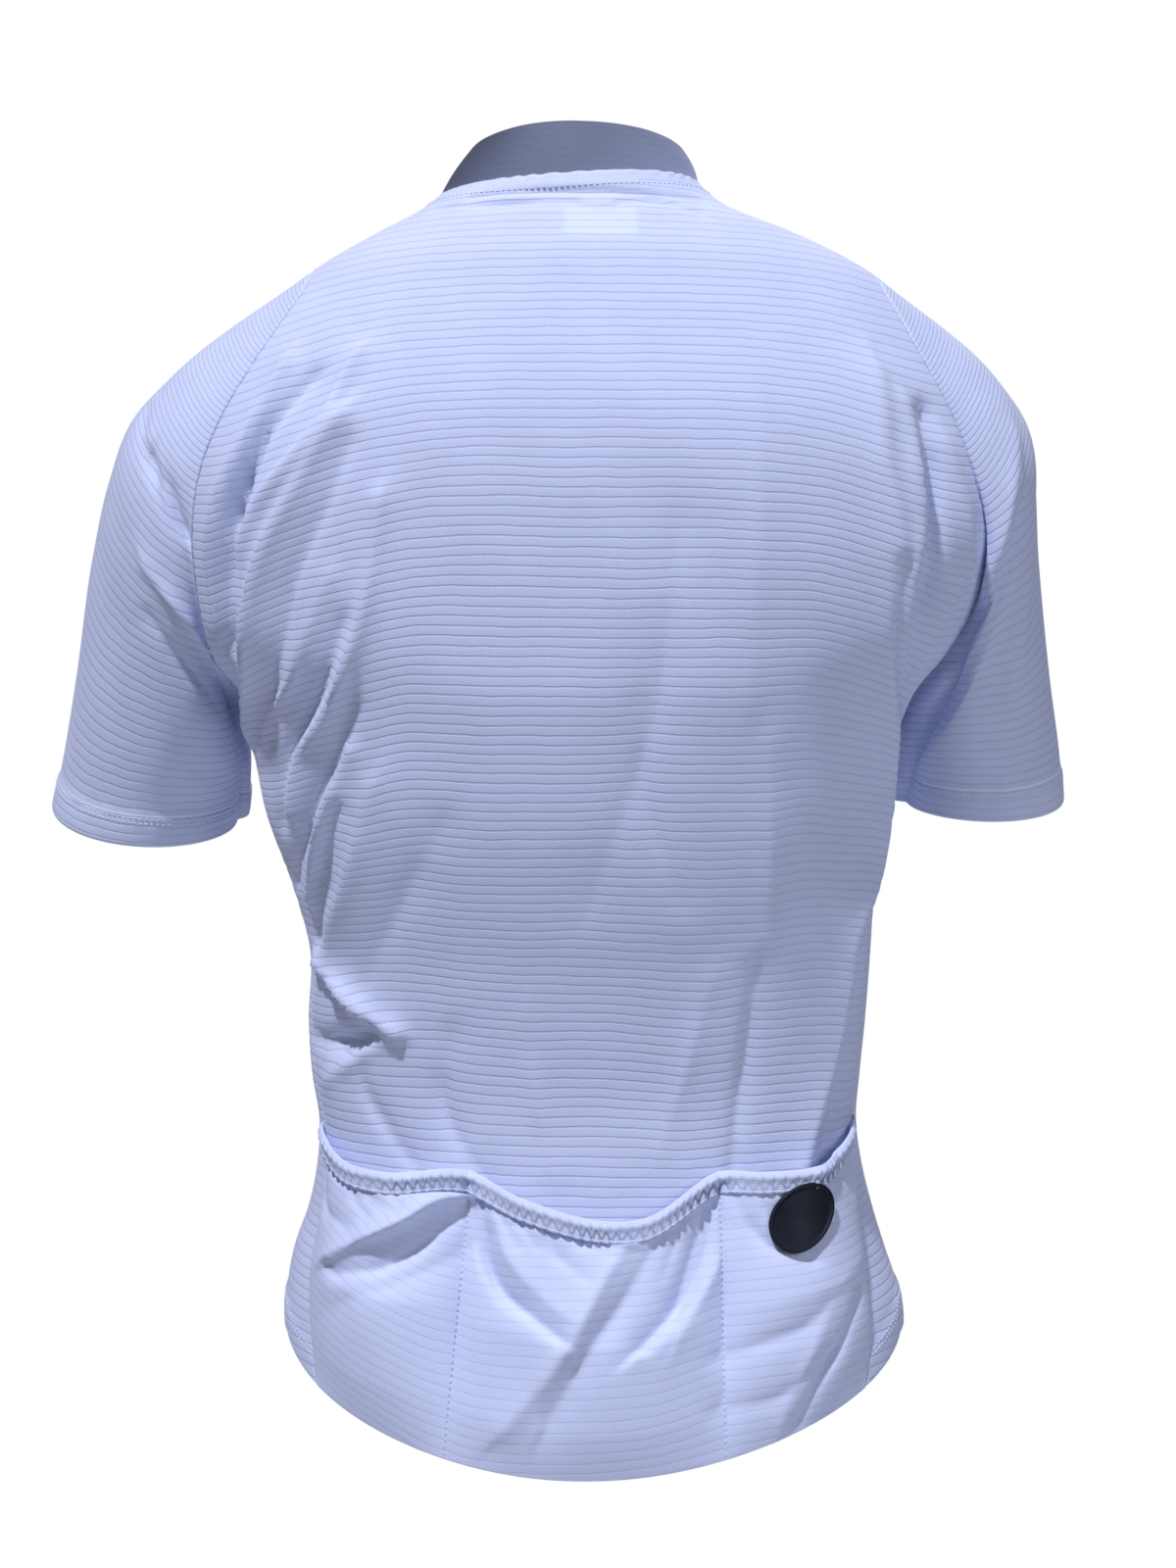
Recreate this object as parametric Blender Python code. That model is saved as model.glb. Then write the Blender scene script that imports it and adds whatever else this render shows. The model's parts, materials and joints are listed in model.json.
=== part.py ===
"""Short-sleeved cycling jersey in its worn form: a hollow, open garment with nobody in it.

Metres, +Z up. The front faces -Y and the back +Y, so the wearer's left is +X. The origin is the
middle of the neck hole at the neck seam, where the wearer's shoulders and neck hold the jersey up.

The trunk is a stack of rounded sections. Each body panel is a grid laid on it between its seams:
rows run up from the hem to the neck, columns run round. Sleeves and collar are lofts that start
from the panels' own seam points, and what lies on a panel is made from that panel's points.
"""
import math

import bmesh
import bpy
import numpy as np
from mathutils import Matrix

MM = 0.001

# ---------------------------------------------------------------- driving dimensions, millimetres
WALL = 1.2                  # ribbed knit, one layer
SEAM = 0.3                  # clearance between two pieces that are sewn together
ARMHOLE_GAP = 0.55          # the same at the armhole, measured sideways
SECTION_POWER = 2.3         # 2 is an ellipse, more is squarer
HEM_SIDE = -637.0           # hem height at the side seams
HEM_BACK = -682.0           # dropped tail, centre back
HEM_FRONT = -600.0          # centre front
HEM_TAIL_DEG = 78.0         # the tail reaches this far round from centre back, the front rise the rest
HEM_TAIL_POWER = 0.85       # under 1 gives the tail a flatter middle
NECK_DROP_FRONT = -56.0     # neck seam at the centre front
NECK_TILT = 4.0             # the left neck point is this much low and the right one as much high
NECK_POINT_DEG = 97.0       # where the shoulder seam meets the neck, round from centre back
ZIP_GAP = 8.0               # between the two front edges
BAND_HEIGHT = 10.0          # elastic casing along the pockets' top
BAND_THICK = 2.6
BAND_GATHERS = 56
BAND_COLUMNS = 3 * BAND_GATHERS
BAND_CLEAR = 0.4            # the casing stands this far off the line of the pocket cloth
# The casing from its lower edge up: how much it thins there and how high its gathers swell.
BAND_SHAPE = ((1.1, 0.25), (0.0, 0.6), (1.1, 0.25))
POCKET_BULGE = 17.0         # how far a pocket stands off the back, half-way up
POCKET_ARCH_POWER = 0.7     # under 1 makes a pocket boxier from divider to divider
COLLAR_BOW = 1.5            # how far the collar swells between its edges
FOLD_STEPS = 24             # points along a fold's path
FOLD_FADE = 0.12            # share of the path over which a fold starts and ends
FOLD_OVERRUN = 8.0          # and it keeps its shape this far past its last point
# How strongly the trunk's own direction, against the sleeve's, turns the sleeve's wall at the armhole.
ARMHOLE_TURN = {"left": 1.4, "right": 0.3}
ARMHOLE_STILL = 0.1         # share of a sleeve below the armhole seam that the folds grow over
LABEL_WIDTH = 40.0
LABEL_HEIGHT = 17.0
LABEL_THICK = 1.0
LABEL_CLEAR = 0.4           # behind the back panel's inner face
LABEL_CENTRE = (-8.5, -31.0)        # across and height
BADGE_LENGTH = 41.0
BADGE_WIDTH = 31.0
BADGE_CENTRE = (-115.0, -565.0)     # across and height
BADGE_LEAN_DEG = 40.0               # its long axis rises towards the wearer's right
BADGE_LIFT = 0.8            # its back stands this far off the middle of the curved cloth
BADGE_SPOKES = 28
# Rings of the badge from the middle out: share of the oval, thickness.
BADGE_RINGS = ((0.2, 1.6), (0.5, 1.6), (0.82, 1.6), (0.88, 2.3), (0.96, 2.3), (1.0, 1.6))
CHAIN_WIDTH = 5.4
CHAIN_THICK = 2.4
TAPE_UNDER = 6.0            # tape hidden behind each front edge
TAPE_THICK = 1.0
TAPE_GAP = 0.5              # behind the fronts
NECK_BEND = 0.68            # keeps the tapes clear of the corner where the collar meets the fronts
SLIDER_WIDTH = 7.6
SLIDER_LENGTH = 9.5
SLIDER_THICK = 1.4
ARCH_WIDTH = 2.0
ARCH_LENGTH = 6.4
ARCH_RISE = 3.6
ARCH_METAL = 1.0
PULL_WIDTH = 6.0
PULL_LENGTH = 24.0
PULL_THICK = 1.2
PULL_WINDOW = (3.2, 4.2)    # the opening round the slider's arch
PULL_TOP_INSET = 1.0        # the tab narrows this much a side at its hinged end
PULL_TOP_RADIUS = 0.4
PULL_END_RADIUS = 2.0
SLIDER_SEAT = 0.75          # share of the way up the collar's top row of the chain

# ---------------------------------------------------------------- how fine the grids are
ROWS_POCKET = 7             # hem to pocket mouth
ROWS_SIDE = 12              # pocket mouth to armpit
ROWS_ARMHOLE = 11
ROWS_SHOULDER = 3
COLUMNS_BACK = 32
COLUMNS_FRONT = 14
ROWS_SLEEVE = 10
ROWS_COLLAR = 2
SKEWED = 3.2                # a face this much longer one way across is split the other way


def table(columns, *rows):
    """A table with named columns, as a dictionary of arrays."""
    return dict(zip(columns.split(), np.array(rows, float).T))


# Trunk sections from the hem up: half widths to the wearer's left and right, depths back and front.
TRUNK = table(
    "height  left  right  back  front",
    (-700, 166, 178, 128, 108),
    (-660, 167, 179, 122, 109),
    (-623, 169, 178, 110, 110),
    (-598, 165, 170, 101, 110),
    (-575, 157, 163, 93, 110),
    (-550, 152, 157, 87, 110),
    (-525, 151, 154, 83, 110),
    (-500, 155, 156, 82, 111),
    (-470, 157, 159, 85, 112),
    (-430, 156, 162, 92, 114),
    (-395, 165, 164, 101, 116),
    (-350, 181, 169, 111, 118),
    (-305, 189, 178, 118, 119),
    (-283, 196, 187, 121, 119),
    (-262, 215, 205, 122, 118),
    (-228, 232, 226, 123, 117),
    (-195, 241, 238, 123, 114),
    (-165, 240, 238, 122, 110),
    (-130, 228, 228, 117, 103),
    (-100, 208, 212, 108, 94),
    (-70, 180, 188, 97, 82),
    (-45, 151, 157, 87, 70),
    (-28, 122, 123, 77, 60),
    (-13, 94, 85, 69, 54),
    (0, 80, 68, 62, 49),
    (10, 74, 62, 58, 45),
)

# Side seam, degrees round from centre back.
SIDE_SEAM = table(
    "height  degrees",
    (-650, 63),
    (-580, 73),
    (-520, 79),
    (-400, 83),
    (-283, 88),
)

# Armhole from the shoulder point down to the armpit, degrees round from centre back.
ARMHOLE = {
    "back_left": table(
        "height  degrees",
        (-41, 94), (-47, 82), (-58, 73.5), (-88, 70), (-128, 69.7), (-165, 71),
        (-199, 72), (-228, 73.5), (-258, 77), (-276, 83), (-283, 88),
    ),
    "back_right": table(
        "height  degrees",
        (-43, 94), (-50, 82), (-64, 74), (-90, 71), (-131, 71), (-168, 72.5),
        (-200, 75.5), (-228, 79), (-258, 82), (-275, 85), (-283, 88),
    ),
    "front_left": table(
        "height  degrees",
        (-41, 94), (-52, 101), (-75, 108), (-110, 113.5), (-150, 116), (-190, 116.5),
        (-230, 114), (-262, 107), (-277, 98), (-283, 88),
    ),
    "front_right": table(
        "height  degrees",
        (-43, 94), (-54, 101), (-77, 108), (-110, 113.5), (-150, 116), (-190, 116.5),
        (-230, 114), (-262, 107), (-277, 98), (-283, 88),
    ),
}

# Sleeve rings from the shoulder to the cuff: the point on the outer line, the point on the line
# under the arm, the ring's middle and half depth front to back, how far its back edge drops, and how
# far its front and back bow outward.
SLEEVE = {
    "left": table(
        "top_x  top_z  under_x  under_z  middle_y  half_depth  back_drop  bow",
        (234, -102, 196, -298, -9, 71, 1, 15),
        (258, -127, 195, -306, -10, 67, 3, 9),
        (272, -160, 195, -314, -13, 64, 6, 5),
        (284, -205, 195, -323, -19, 61, 9, 0),
        (296, -270, 197, -337, -30, 57, 13, 0),
        (308, -325, 200, -352, -41, 54, 16, 0),
        (314, -349, 202, -360, -45, 53, 17, 0),
    ),
    "right": table(
        "top_x  top_z  under_x  under_z  middle_y  half_depth  back_drop  bow",
        (233, -104, 187, -297, -9, 71, 1, 23),
        (250, -127, 187, -304, -10, 67, 3, 15),
        (256, -160, 186, -311, -13, 64, 6, 9),
        (261, -205, 185, -319, -18, 61, 8, 0),
        (270, -272, 182, -330, -28, 56, 10, 0),
        (279, -325, 180, -340, -38, 53, 12, 0),
        (281, -346, 179, -345, -41, 52, 12, 0),
    ),
}

# Collar top edge: reach from the neck's middle and height, degrees round from centre back.
COLLAR_TOP = table(
    "degrees  reach  height",
    (-180, 63, -19),
    (-135, 62, -4),
    (-90, 58, 19),
    (-45, 53, 27),
    (0, 41, 32),
    (45, 58, 28),
    (90, 66, 20),
    (135, 65, -4),
    (180, 63, -19),
)

# How far a pocket stands off the back, from the hem up to its mouth, as shares.
POCKET_PROFILE = table(
    "up  share",
    (0, 0),
    (0.2, 0.45),
    (0.55, 1),
    (0.8, 0.85),
    (1, 0.7),
)

# Mouth of the back pockets, across from the wearer's right to left.
POCKET_LINE = table(
    "across  height",
    (-152, -519),
    (-122, -536),
    (-90, -538),
    (-70, -537),
    (-27, -559),
    (30, -549),
    (61, -536),
    (103, -539),
    (125, -536),
    (146, -523),
)
POCKET_DIVIDERS = (61.0, -71.0)     # across, at the mouth
POCKET_TACKS = (72.0, -72.0)        # across, at the hem

# Largest folds. A ridge stands out and a valley goes in by height, and both fade over the two widths,
# to the left and to the right of the path as it is followed down, seen from outside the cloth.
# A trunk path's points are across and height, millimetres, on the back or the front.
TRUNK_COLUMNS = "face height left_width right_width path"
TRUNK_FOLDS = (
    # left shoulder blade: a sharp nose over the armhole seam, hollow on both sides
    ("back", 5, 14, 12, ((126, -107), (138, -140), (155, -167), (173, -189), (186, -200))),
    ("back", -4, 9, 22, ((135, -158), (148, -180), (158, -212), (163, -248))),
    ("back", -4, 9, 9, ((154, -118), (166, -133), (182, -153), (194, -193))),
    # left side, fanning down from the armpit
    ("back", 4, 7, 12, ((173, -206), (182, -235), (187, -255), (189, -280), (181, -310))),
    ("back", -3, 9, 14, ((153, -214), (159, -242), (162, -271), (176, -305))),
    ("back", 3, 8, 9, ((141, -239), (156, -269), (169, -290))),
    ("back", 4, 9, 14, ((116, -235), (128, -276), (143, -299), (155, -316), (161, -336))),
    ("back", 4, 8, 12, ((133, -327), (141, -345), (147, -368), (154, -393))),
    ("back", -5, 12, 14, ((126, -345), (132, -375), (140, -402))),
    # left waist, a crease across and soft folds down to the pocket
    ("back", 3, 10, 8, ((152, -440), (132, -450), (110, -458))),
    ("back", -6, 10, 10, ((152, -470), (135, -470), (112, -468))),
    ("back", 3, 9, 9, ((126, -474), (117, -494), (110, -511))),
    ("back", -3, 12, 12, ((74, -490), (77, -507), (80, -525))),
    # middle and right of the back
    ("back", -3, 26, 22, ((-53, -207), (-36, -308), (-1, -412))),
    ("back", 2, 24, 20, ((-98, -126), (-98, -207), (-95, -278))),
    ("back", -3, 7, 14, ((-89, -438), (-85, -485), (-80, -517), (-77, -538))),
    # right side: one long folded edge with a hollow beside it
    ("back", 5, 14, 7, ((-161, -213), (-165, -282), (-167, -326), (-150, -383), (-135, -467), (-119, -533))),
    ("back", -5, 6, 9, ((-171, -215), (-174, -282), (-177, -322), (-160, -380), (-144, -467), (-129, -528))),
    ("back", -4, 8, 8, ((-182, -145), (-188, -165), (-184, -206), (-178, -226))),
    ("back", 3, 6, 8, ((-193, -223), (-177, -256), (-176, -281))),
    ("back", -3, 6, 8, ((-162, -603), (-149, -612), (-138, -627), (-126, -640))),
    # front: like folds from the armpits, across the waist and down the belly
    ("front", 4, 16, 10, ((148, -140), (141, -185), (126, -240))),
    ("front", -4, 9, 12, ((163, -190), (158, -240), (147, -290))),
    ("front", 4, 10, 16, ((-150, -135), (-138, -190), (-120, -250))),
    ("front", -4, 12, 9, ((-166, -180), (-160, -235), (-152, -275))),
    ("front", -5, 11, 9, ((-148, -428), (-118, -444), (-78, -450))),
    ("front", 3, 10, 9, ((-146, -452), (-112, -468), (-70, -474))),
    ("front", -5, 9, 11, ((150, -408), (118, -424), (82, -428))),
    ("front", 3, 22, 20, ((58, -240), (70, -350), (62, -450))),
    ("front", 3, 18, 24, ((-66, -280), (-56, -380), (-72, -500))),
    ("front", -3, 14, 16, ((106, -500), (114, -550), (122, -600))),
    ("front", -3, 16, 14, ((-98, -520), (-110, -560), (-114, -600))),
)
POCKET_FOLDS = (
    # middle pocket: creases that run down from both dividers, one long one across
    ("back", -4, 7, 9, ((56, -556), (53, -581), (41, -601), (23, -617))),
    ("back", -4, 9, 7, ((-65, -556), (-58, -578), (-48, -601), (-34, -617))),
    ("back", -4, 8, 11, ((-29, -572), (-21, -588), (-11, -608), (2, -630), (30, -657))),
    # left pocket: a full fold hanging from the divider towards the side
    ("back", 6, 8, 13, ((87, -553), (114, -574), (140, -588), (160, -602))),
    ("back", -6, 10, 8, ((87, -570), (103, -587), (119, -601), (133, -609), (152, -613))),
    ("back", -3, 8, 9, ((66, -572), (92, -592), (107, -607), (121, -620))),
    # right pocket
    ("back", -4, 8, 8, ((-73, -553), (-85, -570), (-92, -584))),
    ("back", -3, 6, 7, ((-75, -628), (-99, -627), (-119, -625))),
)
# A sleeve path's points are the share of the way down and the share of the way round the back.
SLEEVE_COLUMNS = "side height left_width right_width path"
SLEEVE_FOLDS = (
    ("left", -5, 7, 8, ((0.38, 0.08), (0.26, 0.17), (0.2, 0.24), (0.11, 0.32), (0.08, 0.37), (0.07, 0.41))),
    ("left", 4, 9, 8, ((0.3, 0.06), (0.17, 0.15), (0.11, 0.22), (0.05, 0.29))),
    ("left", -3, 6, 7, ((0.25, 0.22), (0.16, 0.27), (0.1, 0.33))),
    ("left", -4, 7, 8, ((0.44, 0.23), (0.32, 0.31), (0.28, 0.36), (0.33, 0.42))),
    ("left", 3, 14, 14, ((0.55, 0.2), (0.5, 0.3), (0.5, 0.4))),
    ("left", -3, 10, 10, ((0.5, 0.7), (0.25, 0.62), (0.1, 0.56))),
    ("right", 5, 8, 11, ((0.3, 0.12), (0.28, 0.19), (0.21, 0.25), (0.12, 0.32), (0.06, 0.38))),
    ("right", -6, 9, 9, ((0.42, 0.14), (0.36, 0.21), (0.3, 0.27), (0.22, 0.34), (0.17, 0.4), (0.16, 0.45))),
    ("right", 3, 12, 12, ((0.6, 0.18), (0.5, 0.28), (0.42, 0.38))),
    ("right", -3, 10, 10, ((0.5, 0.7), (0.25, 0.62), (0.1, 0.56))),
)


def named(columns, rows):
    """Fold rows as dictionaries under their columns' names."""
    return [dict(zip(columns.split(), row)) for row in rows]


# ---------------------------------------------------------------- curves and sections
def smooth(at, places, values):
    """Cubic Hermite curve through the values at the places, level beyond both ends."""
    slopes = np.gradient(values, places, axis=0)
    at = np.clip(at, places[0], places[-1])
    k = np.clip(np.searchsorted(places, at) - 1, 0, len(places) - 2)
    gap = places[k + 1] - places[k]
    t = (at - places[k]) / gap
    if values.ndim > 1:
        gap = gap[:, None]
        t = t[:, None]
    return (
        values[k] * (1 + 2 * t) * (1 - t) ** 2
        + slopes[k] * gap * t * (1 - t) ** 2
        + values[k + 1] * t * t * (3 - 2 * t)
        + slopes[k + 1] * gap * t * t * (t - 1)
    )


def along(points, count):
    """count + 1 points, evenly spaced along the smooth curve through the points."""
    points = np.array(points, float)
    reach = np.concatenate([[0], np.cumsum(np.linalg.norm(np.diff(points, axis=0), axis=1))])
    fine = smooth(np.linspace(0, reach[-1], 400), reach, points)
    length = np.concatenate([[0], np.cumsum(np.linalg.norm(np.diff(fine, axis=0), axis=1))])
    where = np.linspace(0, length[-1], count + 1)
    return np.stack([np.interp(where, length, fine[:, k]) for k in range(points.shape[1])], axis=1)


def trunk_point(degrees, height):
    """The trunk's surface, round from centre back towards the wearer's left, at a height."""
    turn = np.radians(degrees)
    height = np.asarray(height, float)
    places = TRUNK["height"]
    side = np.where(
        np.sin(turn) > 0,
        smooth(height.ravel(), places, TRUNK["left"]).reshape(height.shape),
        smooth(height.ravel(), places, TRUNK["right"]).reshape(height.shape),
    )
    deep = np.where(
        np.cos(turn) > 0,
        smooth(height.ravel(), places, TRUNK["back"]).reshape(height.shape),
        smooth(height.ravel(), places, TRUNK["front"]).reshape(height.shape),
    )
    power = SECTION_POWER
    reach = (np.abs(np.sin(turn) / side) ** power + np.abs(np.cos(turn) / deep) ** power) ** (-1 / power)
    return np.stack([reach * np.sin(turn), reach * np.cos(turn), height], axis=-1)


def trunk_normal(degrees, height):
    """Outward normal of the trunk's surface."""
    round_it = trunk_point(degrees + 0.5, height) - trunk_point(degrees - 0.5, height)
    up = trunk_point(degrees, height + 1.0) - trunk_point(degrees, height - 1.0)
    return unit(np.cross(up, round_it))


def unit(vectors):
    return vectors / np.linalg.norm(vectors, axis=-1, keepdims=True)


def trunk_degrees(across, height, side):
    """Degrees round from centre back of the trunk point at a distance across and a height."""
    turn = np.linspace(0, 89.9, 600)
    if side == "front":
        turn = 180 - turn
    if across < 0:
        turn = -turn
    reach = trunk_point(turn, np.full(turn.shape, float(height)))[:, 0]
    return turn[np.argmin(np.abs(reach - across))]


# ---------------------------------------------------------------- folds
def trunk_path(fold):
    return [trunk_point(np.array(trunk_degrees(x, z, fold["face"])), z) for x, z in fold["path"]]


def relief(points, normals, folds, paths):
    """How far the folds push each point out along its normal."""
    flat = points.reshape(-1, 3)
    facing = normals.reshape(-1, 3)
    push = np.zeros(len(flat))
    for fold, path in zip(folds, paths):
        line = along(path, FOLD_STEPS)
        away = np.linalg.norm(flat[:, None, :] - line[None, :, :], axis=2)
        nearest = np.argmin(away, axis=1)
        run = unit(np.gradient(line, axis=0))[nearest]
        offset = flat - line[nearest]
        lengthwise = np.einsum("ij,ij->i", offset, run)
        distance = np.linalg.norm(offset - run * lengthwise[:, None], axis=1)
        leftward = np.einsum("ij,ij->i", offset, np.cross(run, facing))
        width = np.where(leftward > 0, fold["left_width"], fold["right_width"])
        fade = np.sin(np.pi * np.clip(nearest / FOLD_STEPS, FOLD_FADE, 1 - FOLD_FADE)) ** 0.6
        beyond = np.maximum(np.abs(lengthwise) - FOLD_OVERRUN, 0)
        push += fold["height"] * fade * np.exp(-(distance / width) ** 2 - (beyond / width) ** 2)
    return push.reshape(points.shape[:-1])


# ---------------------------------------------------------------- panels of the trunk
def neck_height(degrees):
    """Height of the neck seam: level behind, dropped in front, tilted a little to the left."""
    front = np.clip((np.abs(degrees) - NECK_POINT_DEG) / (180 - NECK_POINT_DEG), 0, 1)
    tilt = -NECK_TILT * np.sin(np.radians(degrees))
    return tilt + NECK_DROP_FRONT * np.sin(front * np.pi / 2) ** 2


def hem_height(degrees):
    """Height of the hem: lowest behind, highest in front."""
    back = np.cos(np.radians(np.clip(degrees / HEM_TAIL_DEG, -1, 1) * 90)) ** HEM_TAIL_POWER
    front = np.clip((np.abs(degrees) - HEM_TAIL_DEG) / (180 - HEM_TAIL_DEG), 0, 1)
    rise = (HEM_FRONT - HEM_SIDE) * np.sin(front * np.pi / 2) ** 2
    return HEM_SIDE + (HEM_BACK - HEM_SIDE) * back + rise


def seam_rows(side, face):
    """Degrees and height, row by row, of a panel's edge: side seam, armhole, shoulder seam."""
    mouth = POCKET_LINE["height"][-1 if side == "left" else 0]
    holes = ARMHOLE[face + "_" + side]
    armpit = ARMHOLE["back_" + side]["height"][-1]
    start = np.interp(HEM_SIDE, SIDE_SEAM["height"], SIDE_SEAM["degrees"])
    hem = float(hem_height(np.array(start)))
    low = np.linspace(hem, mouth, ROWS_POCKET + 1)
    high = np.linspace(mouth, armpit, ROWS_SIDE + 1)[1:]
    heights = np.concatenate([low, high])
    degrees = smooth(heights, SIDE_SEAM["height"], SIDE_SEAM["degrees"])
    seam = np.stack([degrees, heights], axis=1)
    sign = 1 if side == "left" else -1
    hole = trunk_point(sign * holes["degrees"], holes["height"])[::-1]
    hole = along(hole, ROWS_ARMHOLE)
    hole_degrees = np.degrees(np.arctan2(sign * hole[:, 0], hole[:, 1])) % 360
    armhole = np.stack([hole_degrees, hole[:, 2]], axis=1)[1:]
    top = sign * NECK_POINT_DEG
    neck = np.array([NECK_POINT_DEG, float(neck_height(np.array(top)))])
    share = np.linspace(0, 1, ROWS_SHOULDER + 1)[1:, None]
    shoulder = armhole[-1] * (1 - share) + neck * share
    return np.concatenate([seam, armhole, shoulder])


def mouth_height(across):
    return smooth(np.asarray(across, float), POCKET_LINE["across"], POCKET_LINE["height"])


def back_places():
    """Degrees and heights of the back panel's grid."""
    left = seam_rows("left", "back")
    right = seam_rows("right", "back")
    share = np.linspace(0, 1, COLUMNS_BACK + 1)
    degrees = left[:, :1] * (1 - share) - right[:, :1] * share
    heights = left[:, 1:] * (1 - share) + right[:, 1:] * share
    hem = hem_height(degrees[0])
    across = trunk_point(degrees[ROWS_POCKET], heights[ROWS_POCKET])[:, 0]
    mouth = mouth_height(across)
    mouth[[0, -1]] = heights[ROWS_POCKET][[0, -1]]
    neck = neck_height(degrees[-1])
    hem_sag = hem - heights[0]
    mouth_sag = mouth - heights[ROWS_POCKET]
    neck_sag = neck - heights[-1]
    rows = np.arange(len(heights))[:, None]
    low = np.clip(rows / ROWS_POCKET, 0, 1)
    high = np.clip((rows - ROWS_POCKET) / (len(heights) - 1 - ROWS_POCKET), 0, 1)
    heights = heights + hem_sag * (1 - low) + mouth_sag * low * (1 - high) ** 2 + neck_sag * high ** 4
    return degrees, heights


def front_places(side):
    """Degrees and heights of one front panel's grid, from its side seam to the zip."""
    seam = seam_rows(side, "front")
    turn = np.linspace(0, 1, COLUMNS_FRONT + 1)
    armpit = ARMHOLE["back_" + side]["height"][-1]
    middle = np.interp(
        seam[:, 1],
        [seam[0, 1], armpit, seam[-1, 1]],
        [HEM_FRONT, armpit, NECK_DROP_FRONT],
    )
    depth = smooth(middle, TRUNK["height"], TRUNK["front"])
    edge = 180 - np.degrees(ZIP_GAP / 2 / depth)
    degrees = seam[:, :1] * (1 - turn) + edge[:, None] * turn
    heights = seam[:, 1:] * (1 - turn) + middle[:, None] * turn
    sign = 1 if side == "left" else -1
    hem_sag = hem_height(sign * degrees[0]) - heights[0]
    neck_sag = neck_height(sign * degrees[-1]) - heights[-1]
    rise = np.linspace(0, 1, len(heights))[:, None]
    heights = heights + hem_sag * (1 - rise) ** 2 + neck_sag * rise ** 4
    return sign * degrees, heights


def trunk_panel(places):
    """Outer points and normals of a panel of the trunk, folds included."""
    degrees, heights = places
    base = trunk_point(degrees, heights)
    normal = trunk_normal(degrees, heights)
    folds = named(TRUNK_COLUMNS, TRUNK_FOLDS)
    push = relief(base, normal, folds, [trunk_path(fold) for fold in folds])
    return base + normal * push[..., None], normal


# ---------------------------------------------------------------- sleeves and collar
def sleeve_rings(side, hole):
    """Outer points of a sleeve: smooth curves from the armhole's points through the rings."""
    sign = 1 if side == "left" else -1
    rings = SLEEVE[side]
    share = np.linspace(0, 2 * np.pi, len(hole))
    lift = np.cos(share)[:, None]
    back = np.sin(share)[:, None]
    loops = [hole]
    for k in range(len(rings["top_x"])):
        top = np.array([sign * rings["top_x"][k], rings["middle_y"][k], rings["top_z"][k]])
        under = np.array([sign * rings["under_x"][k], rings["middle_y"][k], rings["under_z"][k]])
        deep = np.array([0, rings["half_depth"][k], -rings["back_drop"][k]])
        bow = np.array([sign * rings["bow"][k], 0, 0])
        loops.append((top + under) / 2 + (top - under) / 2 * lift + deep * back + bow * back ** 2)
    loops = np.array(loops)
    lines = [along(loops[:, j], ROWS_SLEEVE) for j in range(len(hole))]
    grid = np.stack(lines, axis=1)
    normals = grid_normals(grid, ring=True) * sign
    folds = [fold for fold in named(SLEEVE_COLUMNS, SLEEVE_FOLDS) if fold["side"] == side]
    paths = [[on_grid(grid, down, turn) for down, turn in fold["path"]] for fold in folds]
    push = relief(grid, normals, folds, paths)
    rise = np.clip(np.linspace(0, 1, ROWS_SLEEVE + 1) / ARMHOLE_STILL, 0, 1)
    return grid + normals * (push * rise[:, None])[..., None]


def on_grid(grid, down, turn):
    """The point of a grid at a share of its rows and a share of its columns."""
    row = down * (grid.shape[0] - 1)
    column = turn * (grid.shape[1] - 1)
    i = min(int(row), grid.shape[0] - 2)
    j = min(int(column), grid.shape[1] - 2)
    upper = grid[i, j] * (1 - column + j) + grid[i, j + 1] * (column - j)
    lower = grid[i + 1, j] * (1 - column + j) + grid[i + 1, j + 1] * (column - j)
    return upper * (1 - row + i) + lower * (row - i)


def grid_normals(grid, ring):
    """Outward normals of a grid of points, rows by columns; a ring closes on itself."""
    down = np.gradient(grid, axis=0)
    if ring:
        padded = np.concatenate([grid[:, -2:-1], grid, grid[:, 1:2]], axis=1)
        across = np.gradient(padded, axis=1)[:, 1:-1]
    else:
        across = np.gradient(grid, axis=1)
    return unit(np.cross(down, across))


def collar_points(neck):
    """Outer points of the collar, from the panels' neck points up to its top edge."""
    degrees = np.degrees(np.arctan2(neck[:, 0], neck[:, 1]))
    reach = smooth(degrees, COLLAR_TOP["degrees"], COLLAR_TOP["reach"])
    height = smooth(degrees, COLLAR_TOP["degrees"], COLLAR_TOP["height"])
    turn = np.radians(degrees)
    top = np.stack([reach * np.sin(turn), reach * np.cos(turn), height], axis=1)
    top[0, 0] = neck[0, 0]
    top[-1, 0] = neck[-1, 0]
    base = neck + unit(top - neck) * SEAM
    share = np.linspace(0, 1, ROWS_COLLAR + 1)[:, None, None]
    outward = unit(np.stack([top[:, 0], top[:, 1], np.zeros(len(top))], axis=1))
    bow = COLLAR_BOW * np.sin(np.pi * share) * outward
    bow[:, [0, -1]] = 0
    return base * (1 - share) + top * share + bow


# ---------------------------------------------------------------- solids
def material(name, colour, roughness, metallic=0.0):
    shader = bpy.data.materials.new(name)
    shader.use_nodes = True
    principled = shader.node_tree.nodes["Principled BSDF"]
    principled.inputs["Base Color"].default_value = (*colour, 1)
    principled.inputs["Roughness"].default_value = roughness
    principled.inputs["Metallic"].default_value = metallic
    return shader


def add_object(name, mesh, shader):
    mesh.materials.clear()
    mesh.materials.append(shader)
    made = bpy.data.objects.new(name, mesh)
    collection.objects.link(made)
    return made


def two_triangles(a, b, c, d):
    return (a, b, c), (a, c, d)


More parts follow.
